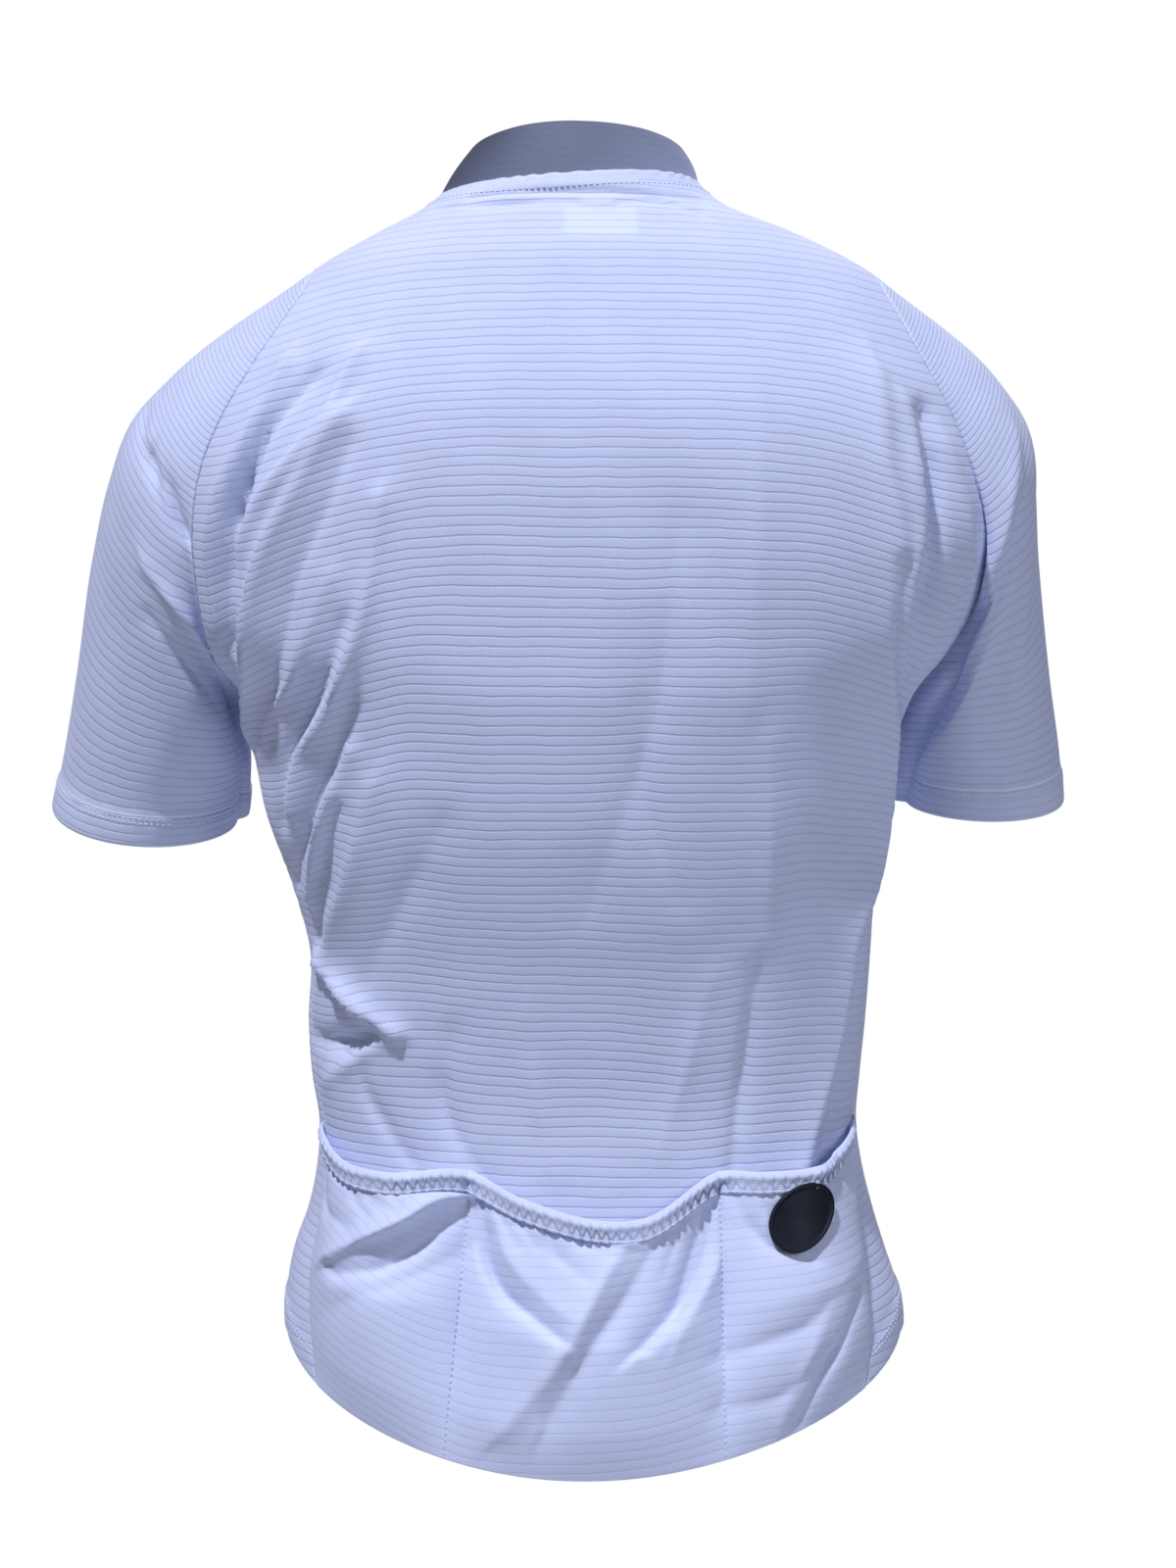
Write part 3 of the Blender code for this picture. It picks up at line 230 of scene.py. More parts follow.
# Largest folds, each by height, width to the left, width to the right, and path. A ridge stands out
# and a valley goes in by height, and both fade over the two widths, to the left and to the right of
# the path as it is followed down, seen from outside the cloth. A trunk path's points are across and
# height, millimetres, on the back or the front.
TRUNK_FOLDS = {
    "back": (
        # from the left armhole down to the waist, then the middle, then the right side
        (8, 12, 5, ((161, -114), (177, -146), (192, -179), (198, -210), (197, -239))),
        (-9, 5, 8, ((149, -121), (167, -143), (180, -172), (187, -197), (191, -226), (190, -249))),
        (8, 4, 10, ((123, -111), (137, -142), (154, -163), (170, -180), (182, -197))),
        (10, 5, 13, ((132, -146), (150, -176), (165, -202), (173, -224), (178, -249), (182, -279),
            (188, -305))),
        (-4, 6, 3, ((124, -160), (132, -181), (142, -202), (153, -227), (158, -251), (164, -278),
            (168, -303))),
        (4, 6, 5, ((135, -228), (145, -252), (155, -276), (168, -294), (176, -313))),
        (-5, 5, 5, ((128, -251), (137, -277), (150, -300), (162, -322), (166, -349))),
        (7, 5, 9, ((107, -189), (111, -219), (117, -248), (128, -277), (139, -298), (153, -317),
            (158, -339))),
        (-6, 8, 5, ((124, -296), (132, -319), (142, -335), (151, -359), (159, -382))),
        (6, 4, 6, ((127, -319), (137, -339), (144, -362), (150, -389))),
        (-5, 4, 5, ((134, -351), (140, -373), (145, -394), (146, -412))),
        (4, 5, 16, ((114, -338), (123, -368), (129, -387), (138, -409), (144, -432))),
        (-3, 14, 16, ((80, -360), (99, -397), (115, -431))),
        (10, 3, 9, ((142, -436), (133, -444), (123, -454), (111, -461))),
        (-9, 8, 9, ((145, -476), (133, -475), (124, -472))),
        (4, 6, 6, ((139, -494), (128, -485), (117, -476), (107, -470))),
        (-3, 5, 10, ((122, -485), (119, -501), (110, -515), (99, -528))),
        (-4, 12, 14, ((73, -476), (76, -499), (70, -518), (59, -533))),
        (2, 14, 16, ((30, -465), (27, -492), (20, -524))),
        (-3.2, 4, 1.5, ((55, -13), (25, -12), (-8, -12), (-36, -13), (-58, -14))),
        (-3.2, 4, 1.5, ((76, -19), (52, -19), (11, -19))),
        (-3.2, 4, 1.5, ((-26, -18), (-42, -17), (-56, -22))),
        (-3, 24, 20, ((-47, -208), (-35, -297), (-7, -380))),
        (2, 24, 20, ((-90, -128), (-89, -209), (-86, -272))),
        (-2, 10, 12, ((-28, -297), (-33, -340), (-47, -382))),
        (2, 12, 14, ((-97, -320), (-97, -370), (-96, -415))),
        (-4, 6, 9, ((-90, -436), (-87, -468), (-83, -501), (-79, -533))),
        (2, 10, 12, ((-64, -443), (-54, -482), (-43, -517))),
        (8, 18, 11, ((-155, -123), (-157, -159), (-163, -192), (-166, -220), (-164, -250), (-164, -278),
            (-165, -315), (-163, -350), (-158, -383), (-147, -413), (-143, -441), (-139, -473),
            (-130, -503), (-119, -536))),
        (-10, 3, 3, ((-166, -220), (-164, -250), (-167, -278), (-175, -307), (-169, -346))),
        (-5, 3.5, 8, ((-159, -390), (-152, -419), (-148, -446), (-144, -475), (-137, -502),
            (-130, -532))),
        (-11, 6, 6, ((-182, -140), (-185, -164), (-185, -191), (-184, -210), (-182, -225))),
        (6, 8, 3, ((-171, -135), (-176, -167), (-179, -191), (-173, -224), (-172, -240))),
        (4, 9, 6, ((-197, -158), (-205, -190), (-207, -214), (-195, -238), (-184, -263))),
        (-5, 5, 6, ((-183, -229), (-177, -249), (-174, -273), (-176, -302))),
    ),
    "front": (
        # like folds from the armpits, across the waist and down the belly
        (4, 16, 10, ((148, -140), (141, -185), (126, -240))),
        (-4, 9, 12, ((163, -190), (158, -240), (147, -290))),
        (4, 10, 16, ((-150, -135), (-138, -190), (-120, -250))),
        (-4, 12, 9, ((-166, -180), (-160, -235), (-152, -275))),
        (-5, 11, 9, ((-148, -428), (-118, -444), (-78, -450))),
        (3, 10, 9, ((-146, -452), (-112, -468), (-70, -474))),
        (-5, 9, 11, ((150, -408), (118, -424), (82, -428))),
        (3, 22, 20, ((58, -240), (70, -350), (62, -450))),
        (3, 18, 24, ((-66, -280), (-56, -380), (-72, -500))),
        (-3, 14, 16, ((106, -500), (114, -550), (122, -600))),
        (-3, 16, 14, ((-98, -520), (-110, -560), (-114, -600))),
    ),
}
POCKET_FOLDS = (
    # full folds and creases, then short puckers under the casing
    (11, 13, 3.5, ((59, -548), (75, -552), (88, -562), (106, -574), (120, -583))),
    (-6, 8, 6, ((71, -563), (87, -579), (105, -590), (118, -593))),
    (-3, 4, 5, ((139, -553), (137, -566), (127, -569))),
    (-3, 10, 13, ((59, -574), (85, -590), (123, -608))),
    (-8, 2.5, 7, ((55, -550), (54, -568), (49, -585), (41, -597), (28, -606), (18, -613))),
    (3, 5, 10, ((46, -556), (42, -574), (32, -588), (19, -599))),
    (-2.5, 4, 6, ((19, -563), (16, -576), (6, -584))),
    (6.5, 15, 9, ((-23, -568), (-10, -589), (3, -612), (20, -636), (34, -651))),
    (-5, 6, 16, ((-32, -579), (-18, -601), (-2, -622), (13, -645))),
    (-12, 12, 3, ((-65, -557), (-62, -573), (-56, -589), (-47, -604), (-35, -615))),
    (3, 5, 12, ((-72, -559), (-70, -581), (-60, -598), (-52, -610))),
    (-4, 5, 8, ((-80, -556), (-86, -567), (-95, -577), (-105, -582))),
    (-3, 7, 7, ((-75, -625), (-92, -621), (-111, -616), (-121, -609))),
    (-2.5, 7, 7, ((-75, -650), (-98, -647), (-116, -636))),
    (-4, 4, 4, ((-112, -656), (-120, -641), (-130, -627), (-139, -614))),
    (2, 10, 6, ((-103, -652), (-111, -633), (-123, -610))),
    (-2, 3, 3, ((134, -545), (126, -548), (119, -548))),
    (-2, 3, 3, ((119, -548), (118, -554), (114, -558))),
    (-1.8, 2.5, 3, ((110, -548), (109, -553), (104, -556))),
    (-1.6, 3, 3, ((95, -547), (94, -551))),
    (-2.2, 3, 4, ((50, -552), (44, -558), (39, -566))),
    (-1.8, 3, 3, ((37, -557), (33, -562), (29, -567))),
    (-2, 3, 4, ((7, -565), (1, -572), (-7, -575))),
    (-1.6, 3, 3, ((-7, -568), (-11, -572), (-19, -574))),
    (-1.6, 3, 3, ((-48, -565), (-46, -573), (-43, -581))),
    (-1.6, 3, 3, ((-93, -552), (-94, -557), (-98, -563))),
    (-1.6, 3, 3, ((-135, -544), (-134, -544), (-138, -551))),
    (-1.4, 3, 3, ((-105, -550), (-107, -553))),
)
# A sleeve path's points are the share of the way down and the share of the way round the back.
SLEEVE_FOLDS = {
    "left": (
        (-8, 2.5, 5, ((0.28, 0.18), (0.23, 0.22), (0.18, 0.27), (0.04, 0.34), (0, 0.37), (0.11, 0.39))),
        (3, 3, 3, ((0.3, 0.15), (0.26, 0.19), (0.22, 0.24), (0.16, 0.29), (0.02, 0.36))),
        (-2.5, 4, 3, ((0.34, 0.09), (0.31, 0.15), (0.26, 0.21), (0.22, 0.25), (0.15, 0.31))),
        (5, 3.5, 9, ((0.35, 0.25), (0.31, 0.29), (0.28, 0.32), (0.2, 0.38), (0.01, 0.44))),
        (-4, 9, 6, ((0.43, 0.27), (0.41, 0.32), (0.38, 0.38))),
        (-9, 17, 12, ((0.06, 0.46), (0.31, 0.5), (0.65, 0.49), (1, 0.48))),
        (-3, 10, 10, ((0.5, 0.7), (0.25, 0.62), (0.1, 0.56))),
        (5, 14, 12, ((0.35, 0.5), (0.6, 0.5), (0.85, 0.5))),
    ),
    "right": (
        (2.5, 9, 4, ((0.27, 0.17), (0.24, 0.22), (0.23, 0.26), (0.21, 0.3), (0.16, 0.34))),
        (-11, 6, 15, ((0.31, 0.23), (0.33, 0.27), (0.14, 0.4), (0.36, 0.4), (0.5, 0.45), (0.85, 0.44))),
        (3, 14, 14, ((0.55, 0.15), (0.69, 0.19), (0.81, 0.21))),
        (7, 14, 12, ((0.2, 0.5), (0.45, 0.5), (0.75, 0.5))),
        (-3, 10, 10, ((0.5, 0.7), (0.25, 0.62), (0.1, 0.56))),
    ),
}


FOLD_STEPS = 70             # points along a fold's path
FOLD_FADE = 0.12            # share of the path over which a fold starts and ends
FOLD_OVERRUN = 8.0          # and it keeps its shape this far past its last point
FOLD_CREST = 1.6            # rounding of a fold's crest
FOLD_SPREAD = 0.6           # a fold falls to a third within this share of its width
FOLD_REACH = 4              # widths from its path at which a fold has died out
FOLD_BLEND = 1.5            # its two widths meet over this distance to each side
FOLD_FADE_POWER = 0.6       # under 1 makes a fold's two ends shorter
SEAM_SINK = 0.9             # how far a sewn edge rolls in, and over what width
SEAM_ROLL = 1.2
COLLAR_SUNK = 0.5           # how far the collar's foot stands in the neck seam
PUCKER = 0.3
PUCKER_PITCH = 11.0
PUCKER_REACH = 6.0
PUCKER_DRIFT = (1.3, 47.0)          # how far the pitch drifts, in radians, and over what length
PUCKER_CALM = (0.55, 0.45, 83.0)    # mean strength, how far it varies and over what length
HEM_STITCHES = (14.5, 17.5)         # up from the edge
HEM_SOFT = 0.9              # width of a hem's step and of a line of stitches
STITCH_PINCH = 0.4          # how far a line of stitches draws a hem in
STITCH_STAND = 0.12         # a stitch's middle over the cloth
STITCH_DIVE = 0.3           # how far its ends go down
EDGE_ROUND = (0.5, 0.8)     # how far a cut edge draws in, and over what width
ZIP_STITCHES = 4.0          # in from the zip
NECK_STITCHES = 10.5        # down from the neck seam
CASING_STITCHES = 0.12      # share of the casing's height
CASING_LEVELS = (0.74, 0.2, 0.5, 0.86)      # its rim's middle and spread, and where its lower half ends
CREASE_TURN = (0.12, 0.46)  # a crease's lowest level and how far it climbs between two gathers
CREASE_SPREAD = 0.1
CREASE_DEEP = 0.7
ROW_AT_HEM = 18.0           # length of a named row there
ROW_AT_NECK = 13.0

# Where the ribs dip: across, height, half width, half height, drop. Millimetres.
RIB_SAGS = {
    "back": (
        (205, -150, 75, 110, 26), (205, -290, 60, 80, 13), (-205, -150, 70, 110, 20),
        (-200, -290, 55, 90, 8), (95, -450, 45, 60, -6), (90, -300, 22, 90, -2),
        (118, -330, 18, 90, 2.5), (-120, -330, 20, 120, -2.5), (-60, -470, 30, 80, 2.5),
        (10, -450, 40, 90, -2), (-30, -250, 40, 60, 1.5), (60, -180, 30, 50, -1.5),
    ),
    "front": ((190, -170, 60, 90, 14), (-190, -170, 60, 90, 14)),
}
# How steeply a sleeve's ribs fall towards the armhole, by height, and the distance across they turn at.
SLEEVE_RIB_SLOPE = table(
    "height  left  right",
    (-345, 0, 0), (-312, 0.08, 0.05), (-280, 0.2, 0.14), (-253, 0.3, 0.26), (-226, 0.42, 0.42),
    (-198, 0.53, 0.6), (-171, 0.65, 0.8), (-144, 0.78, 1.0), (-117, 0.9, 1.15), (-60, 1.0, 1.25),
)
SLEEVE_RIBS_AT = 200.0
RIB_BEND = 0.35             # how much a fold that stands out lifts the ribs on it
# Drop of the ribs on the pockets, by distance across.
POCKET_RIB_DROP = table(
    "across  drop",
    (-150, -2), (-110, 0), (-71, 3), (-40, 9), (0, 12), (30, 13), (61, 12), (75, 9), (110, -5),
    (146, -19),
)

FLOOR_HEIGHT = -1450.0
MIDDLE = (0.0, 0.0, -0.35)  # of the garment, metres: the lights are aimed there


# ---------------------------------------------------------------- curves and sections
def smooth(at, places, values):
    """Cubic Hermite curve through the values at the places, level beyond both ends."""
    slopes = np.gradient(values, places, axis=0)
    at = np.clip(at, places[0], places[-1])
    k = np.clip(np.searchsorted(places, at) - 1, 0, len(places) - 2)
    gap = places[k + 1] - places[k]
    t = (at - places[k]) / gap
    if values.ndim > 1:
        gap = gap[:, None]
        t = t[:, None]
    return (
        values[k] * (1 + 2 * t) * (1 - t) ** 2
        + slopes[k] * gap * t * (1 - t) ** 2
        + values[k + 1] * t * t * (3 - 2 * t)
        + slopes[k + 1] * gap * t * t * (t - 1)
    )


def between(where, places, values):
    """Rows of values at given places, straight between the known ones."""
    return np.stack([np.interp(where, places, column) for column in values.T], axis=1)


def reach_along(line):
    """Length from a line's start to each of its points: the running sum of the steps."""
    return np.concatenate([[0], np.cumsum(np.linalg.norm(np.diff(line, axis=0), axis=1))])


def at_reach(line, where):
    """Points of a line at given lengths along it, straight between its own points."""
    return between(where, reach_along(line), line)


def along(points, shares):
    """Points at shares of the length of the smooth curve through the points."""
    points = np.array(points, float)
    reach = reach_along(points)
    fine = smooth(np.linspace(0, reach[-1], 400), reach, points)
    return at_reach(fine, np.asarray(shares) * reach_along(fine)[-1])


def unit(vectors):
    """The vectors divided by their lengths."""
    return vectors / np.linalg.norm(vectors, axis=-1, keepdims=True)


def step(value, low, high):
    """0 under low, 1 over high, and a smooth cubic between them."""
    t = np.clip((value - low) / (high - low), 0, 1)
    return t * t * (3 - 2 * t)


def bell(away, width):
    """1 at no distance, falling off as exp(-(away / width)^2)."""
    return np.exp(-(away / width) ** 2)


def signed_power(values, power):
    """Each value's sign times its size to a power, which makes a circle a superellipse."""
    return np.sign(values) * np.abs(values) ** power


def circle(count):
    """Even turns of a full circle, from 0 up to but not 2 pi."""
    return np.linspace(0, 2 * np.pi, count + 1)[:-1]


def trunk_point(degrees, height):
    """The trunk's surface, round from centre back to the left: a superellipse at each height, whose
    reach is (|sin / side|^power + |cos / depth|^power)^(-1 / power)."""
    turn = np.radians(degrees)
    height = np.asarray(height, float)
    left, right, behind, before = (
        smooth(height.ravel(), TRUNK["height"], TRUNK[name]).reshape(height.shape)
        for name in ("left", "right", "back", "front")
    )
    side = np.where(np.sin(turn) > 0, left, right)
    deep = np.where(np.cos(turn) > 0, behind, before)
    power = SECTION_POWER
    reach = (np.abs(np.sin(turn) / side) ** power + np.abs(np.cos(turn) / deep) ** power) ** (-1 / power)
    return np.stack([reach * np.sin(turn), reach * np.cos(turn), height], axis=-1)


def trunk_normal(degrees, height):
    """Outward normal of the trunk's surface, from points half a degree and a millimetre away."""
    round_it = trunk_point(degrees + 0.5, height) - trunk_point(degrees - 0.5, height)
    up = trunk_point(degrees, height + 1.0) - trunk_point(degrees, height - 1.0)
    return unit(np.cross(up, round_it))


def trunk_degrees(across, height, face):
    """Degrees round from centre back of the trunk point at a distance across and a height: the
    nearest of 600 tries on that face."""
    turn = np.linspace(0, 89.9, 600)
    if face == "front":
        turn = 180 - turn
    if across < 0:
        turn = -turn
    reach = trunk_point(turn, np.full(turn.shape, float(height)))[:, 0]
    return turn[np.argmin(np.abs(reach - across))]


# ---------------------------------------------------------------- folds
def trunk_folds(face, folds):
    """The folds of a face with their paths as points of the trunk's surface."""
    return [(*sizes, [trunk_point(np.array(trunk_degrees(x, z, face)), z) for x, z in path])
            for *sizes, path in folds]


def relief(points, normals, folds):
    """Push of the folds along each point's normal.

    A fold is its height times a crest that falls off with the distance d from the fold's path as
    exp(-(sqrt(d * d + r * r) - r) / (FOLD_SPREAD * width)), rounded over the radius r = FOLD_CREST,
    with its own width on each side, and it fades in and out as a sine along the path.
    """
    flat = points.reshape(-1, 3)
    facing = normals.reshape(-1, 3)
    push = np.zeros(len(flat))
    shares = np.linspace(0, 1, FOLD_STEPS + 1)
    for height, left_width, right_width, path in folds:
        line = along(path, shares)
        reach = FOLD_REACH * max(left_width, right_width) + FOLD_OVERRUN
        near = np.all((flat > line.min(axis=0) - reach) & (flat < line.max(axis=0) + reach), axis=1)
        if not near.any():
            continue
        here = flat[near]
        away = np.linalg.norm(here[:, None, :] - line[None, :, :], axis=2)
        nearest = np.argmin(away, axis=1)
        run = unit(np.gradient(line, axis=0))[nearest]
        offset = here - line[nearest]
        lengthwise = np.einsum("ij,ij->i", offset, run)
        distance = np.linalg.norm(offset - run * lengthwise[:, None], axis=1)
        leftward = np.einsum("ij,ij->i", offset, np.cross(run, facing[near]))
        blend = step(leftward, -FOLD_BLEND, FOLD_BLEND)
        width = left_width * blend + right_width * (1 - blend)
        fade = np.sin(np.pi * np.clip(nearest / FOLD_STEPS, FOLD_FADE, 1 - FOLD_FADE)) ** FOLD_FADE_POWER
        beyond = np.maximum(np.abs(lengthwise) - FOLD_OVERRUN, 0)
        crest = np.exp(-(np.sqrt(distance ** 2 + FOLD_CREST ** 2) - FOLD_CREST) / (FOLD_SPREAD * width))
        push[near] += height * fade * crest * bell(beyond, width)
    return push.reshape(points.shape[:-1])


def seam_roll(away, run):
    """Push of a sewn edge: it rolls in over its last millimetre, and small puckers stand beside it.
    They are a sine along the edge whose pitch and strength drift, and both fall off as a bell."""
    turn = 2 * np.pi * run
    beat = np.sin(turn / PUCKER_PITCH + PUCKER_DRIFT[0] * np.sin(turn / PUCKER_DRIFT[1]))
    calm = PUCKER_CALM[0] + PUCKER_CALM[1] * np.sin(turn / PUCKER_CALM[2])
    return PUCKER * beat * calm * bell(away, PUCKER_REACH) - SEAM_SINK * bell(away, SEAM_ROLL)


def edge_round(away):
    """Push of a cut or folded edge: it draws in over its last millimetre as a bell."""
    return -EDGE_ROUND[0] * bell(away, EDGE_ROUND[1])


def hem_lift(away):
    """Push of a turned hem: a second layer up to HEM_DEPTH, pinched in by two rows of stitches."""
    layer = HEM_LIFT * step(HEM_DEPTH - away, -HEM_SOFT, HEM_SOFT)
    for row in HEM_STITCHES:
        layer = layer - STITCH_PINCH * bell(away - row, HEM_SOFT)
    return layer


# ---------------------------------------------------------------- panels of the trunk
def edge_places(count, sizes):
    """Shares 0 to 1 in even steps, with extra ones near both ends at EDGE_STEPS of a size in mm."""
    even = np.linspace(0, 1, count + 1)
    return np.unique(np.concatenate([even, EDGE_STEPS / sizes, 1 - EDGE_STEPS / sizes]))


def row_places():
    """Row numbers of the fine grid: even in each stretch between two corners, finer at both ends."""
    parts = [
        np.linspace(low, high, count, endpoint=False)
        for low, high, count in zip(ROW_CORNERS[:-1], ROW_CORNERS[1:], ROWS_FINE)
    ]
    parts += [[ROWS_POCKET], [ROW_CORNERS[-1]]]
    parts += [EDGE_STEPS / ROW_AT_HEM, ROW_CORNERS[-1] - EDGE_STEPS / ROW_AT_NECK]
    return np.unique(np.concatenate(parts))


def finer(values):
    """Values of a panel's edge at the fine row numbers; each stretch is its own smooth curve."""
    made = np.empty((len(ROWS_AT), values.shape[1]))
    for low, high in zip(ROW_CORNERS[:-1], ROW_CORNERS[1:]):
        inside = (ROWS_AT >= low) & (ROWS_AT <= high)
        made[inside] = smooth(ROWS_AT[inside] - low, np.arange(high - low + 1.0), values[low:high + 1])
    return made


def neck_height(degrees):
    """Height of the neck seam: level behind, dropped in front as a squared sine, tilted a little to
    the left as a sine."""
    front = np.clip((np.abs(degrees) - NECK_POINT_DEG) / (180 - NECK_POINT_DEG), 0, 1)
    tilt = -NECK_TILT * np.sin(np.radians(degrees))
    return tilt + NECK_DROP_FRONT * np.sin(front * np.pi / 2) ** 2


def hem_height(degrees):
    """Height of the hem: lowest behind as a cosine to a power, highest in front as a squared sine."""
    back = np.cos(np.radians(np.clip(degrees / HEM_TAIL_DEG, -1, 1) * 90)) ** HEM_TAIL_POWER
    front = np.clip((np.abs(degrees) - HEM_TAIL_DEG) / (180 - HEM_TAIL_DEG), 0, 1)
    rise = (HEM_FRONT - HEM_SIDE) * np.sin(front * np.pi / 2) ** 2
    return HEM_SIDE + (HEM_BACK - HEM_SIDE) * back + rise


def seam_rows(side, face):
    """Degrees and height, row by row, of a panel's edge: up the side seam in even heights, round the
    armhole in even lengths and straight along the shoulder seam."""
    mouth = POCKET_LINE["height"][-1 if side == "left" else 0]
    holes = ARMHOLE[face + "_" + side]
    armpit = ARMHOLE["back_" + side]["height"][-1]
    start = np.interp(HEM_SIDE, SIDE_SEAM["height"], SIDE_SEAM["degrees"])
    hem = float(hem_height(np.array(start)))
    heights = np.concatenate([np.linspace(hem, mouth, ROWS_POCKET + 1),
                              np.linspace(mouth, armpit, ROWS_SIDE + 1)[1:]])
    seam = np.stack([smooth(heights, SIDE_SEAM["height"], SIDE_SEAM["degrees"]), heights], axis=1)
    sign = 1 if side == "left" else -1
    hole = trunk_point(sign * holes["degrees"], holes["height"])[::-1]
    hole = along(hole, np.linspace(0, 1, ROWS_ARMHOLE + 1))
    hole_degrees = np.degrees(np.arctan2(sign * hole[:, 0], hole[:, 1])) % 360
    armhole = np.stack([hole_degrees, hole[:, 2]], axis=1)[1:]
    top = sign * NECK_POINT_DEG
    neck = np.array([NECK_POINT_DEG, float(neck_height(np.array(top)))])
    share = np.linspace(0, 1, ROWS_SHOULDER + 1)[1:, None]
    shoulder = armhole[-1] * (1 - share) + neck * share
    return finer(np.concatenate([seam, armhole, shoulder]))


def back_places():
    """Degrees and heights of the back panel's grid: straight from edge to edge, then bent to the
    hem, the pockets' mouth and the neck seam, each of which dies out away from its own row."""
    left = seam_rows("left", "back")
    right = seam_rows("right", "back")
    share = edge_places(COLUMNS_BACK, BACK_ACROSS)
    degrees = left[:, :1] * (1 - share) - right[:, :1] * share
    heights = left[:, 1:] * (1 - share) + right[:, 1:] * share
    mouth_row = np.searchsorted(ROWS_AT, ROWS_POCKET)
    across = trunk_point(degrees[mouth_row], heights[mouth_row])[:, 0]
    mouth = smooth(across, POCKET_LINE["across"], POCKET_LINE["height"])
    mouth[[0, -1]] = heights[mouth_row][[0, -1]]
    hem_sag = hem_height(degrees[0]) - heights[0]
    mouth_sag = mouth - heights[mouth_row]
    neck_sag = neck_height(degrees[-1]) - heights[-1]
    rows = ROWS_AT[:, None]
    low = np.clip(rows / ROWS_POCKET, 0, 1)
    high = np.clip((rows - ROWS_POCKET) / (ROW_CORNERS[-1] - ROWS_POCKET), 0, 1)
    heights = heights + hem_sag * (1 - low) + mouth_sag * low * (1 - high) ** 2 + neck_sag * high ** 4
    return degrees, heights


def front_places(side):
    """Degrees and heights of one front panel's grid: straight from its side seam to the zip, then
    bent to the hem below and the neck seam above."""
    seam = seam_rows(side, "front")
    turn = edge_places(COLUMNS_FRONT, FRONT_ACROSS)
    armpit = ARMHOLE["back_" + side]["height"][-1]
    middle = np.interp(seam[:, 1], [seam[0, 1], armpit, seam[-1, 1]],
                       [HEM_FRONT, armpit, NECK_DROP_FRONT])
    depth = smooth(middle, TRUNK["height"], TRUNK["front"])
    edge = 180 - np.degrees(ZIP_GAP / 2 / depth)
    degrees = seam[:, :1] * (1 - turn) + edge[:, None] * turn
    heights = seam[:, 1:] * (1 - turn) + middle[:, None] * turn
    sign = 1 if side == "left" else -1
    hem_sag = hem_height(sign * degrees[0]) - heights[0]
    neck_sag = neck_height(sign * degrees[-1]) - heights[-1]
    rise = (ROWS_AT / ROWS_AT[-1])[:, None]
    heights = heights + hem_sag * (1 - rise) ** 2 + neck_sag * rise ** 4
    return sign * degrees, heights


def reach_from(grid, axis, end):
    """Length along the grid's rows (axis 1) or columns (axis 0) from its start or its end."""
    steps = np.linalg.norm(np.diff(grid, axis=axis), axis=2)
    reach = np.cumsum(steps, axis=axis)
    reach = np.concatenate([np.zeros_like(np.take(reach, [0], axis)), reach], axis=axis)
    return np.take(reach, [-1], axis) - reach if end else reach


def rib_scale(face):
    """Length of cloth up the middle of a face, sqrt(1 + slope^2) summed over each millimetre of
    height: heights and lengths, equal at the armpit."""
    heights = np.arange(-700.0, 40.0, 1.0)
    slope = np.gradient(smooth(heights, TRUNK["height"], TRUNK[face]), heights)
    length = np.cumsum(np.sqrt(1 + slope ** 2))
    return heights, length - np.interp(ARMPIT, heights, length) + ARMPIT


def sag(points, dips):
    """Height that the ribs drop at each point: wide soft dips, each exp(-(x/a)^2 - (z/b)^2)."""
    return sum(deep * bell(points[..., 0] - across, wide) * bell(points[..., 2] - height, tall)
               for across, height, wide, tall, deep in dips)


def trunk_panel(places, face):
    """Outer points, normals and cloth map of a panel of the trunk: the section's points, pushed
    along their normals by the folds. The map runs across from the face's middle and up its ribs."""
    base, normal = trunk_point(*places), trunk_normal(*places)
    folds = [fold for side, rows in TRUNK_FOLDS.items() for fold in trunk_folds(side, rows)]
    push = relief(base, normal, folds)
    rise = np.interp(places[1], *rib_scale(face)) + sag(base, RIB_SAGS[face]) + RIB_BEND * push
    shape = base + normal * push[..., None]
    middle = np.argmin(np.abs(base[..., 0]), axis=1)
    run = reach_from(shape, 1, False)
    run = run - np.take_along_axis(run, middle[:, None], axis=1)
    return shape, normal, np.stack([run, rise], axis=-1) * MM


def rolled(shape, normal, start, end, top):
    """The panel with its named edges rolled in along their seams: seam_roll of the distance in."""
    up = reach_from(shape, 0, False)
    push = np.zeros(shape.shape[:2])
    if start:
        push += seam_roll(reach_from(shape, 1, False), up[:, :1])
    if end:
        push += seam_roll(reach_from(shape, 1, True), up[:, -1:])
    if top:
        push += seam_roll(reach_from(shape, 0, True), reach_from(shape, 1, False))
    return shape + normal * push[..., None]


# ---------------------------------------------------------------- sleeves and collar
def grid_normals(grid, ring):
    """Outward normals of a grid of points, rows by columns: the cross product of its steps down and
    across. A ring closes on itself."""
    down = np.gradient(grid, axis=0)
    if ring:
        padded = np.concatenate([grid[:, -2:-1], grid, grid[:, 1:2]], axis=1)
        across = np.gradient(padded, axis=1)[:, 1:-1]
    else:
        across = np.gradient(grid, axis=1)
    return unit(np.cross(down, across))


def on_grid(grid, down, turn):
    """The point of a grid at a share of its rows and of its columns, straight between its points."""
    row, column = down * (grid.shape[0] - 1), turn * (grid.shape[1] - 1)
    i, j = min(int(row), grid.shape[0] - 2), min(int(column), grid.shape[1] - 2)
    upper = grid[i, j] * (1 - column + j) + grid[i, j + 1] * (column - j)
    lower = grid[i + 1, j] * (1 - column + j) + grid[i + 1, j + 1] * (column - j)
    return upper * (1 - row + i) + lower * (row - i)


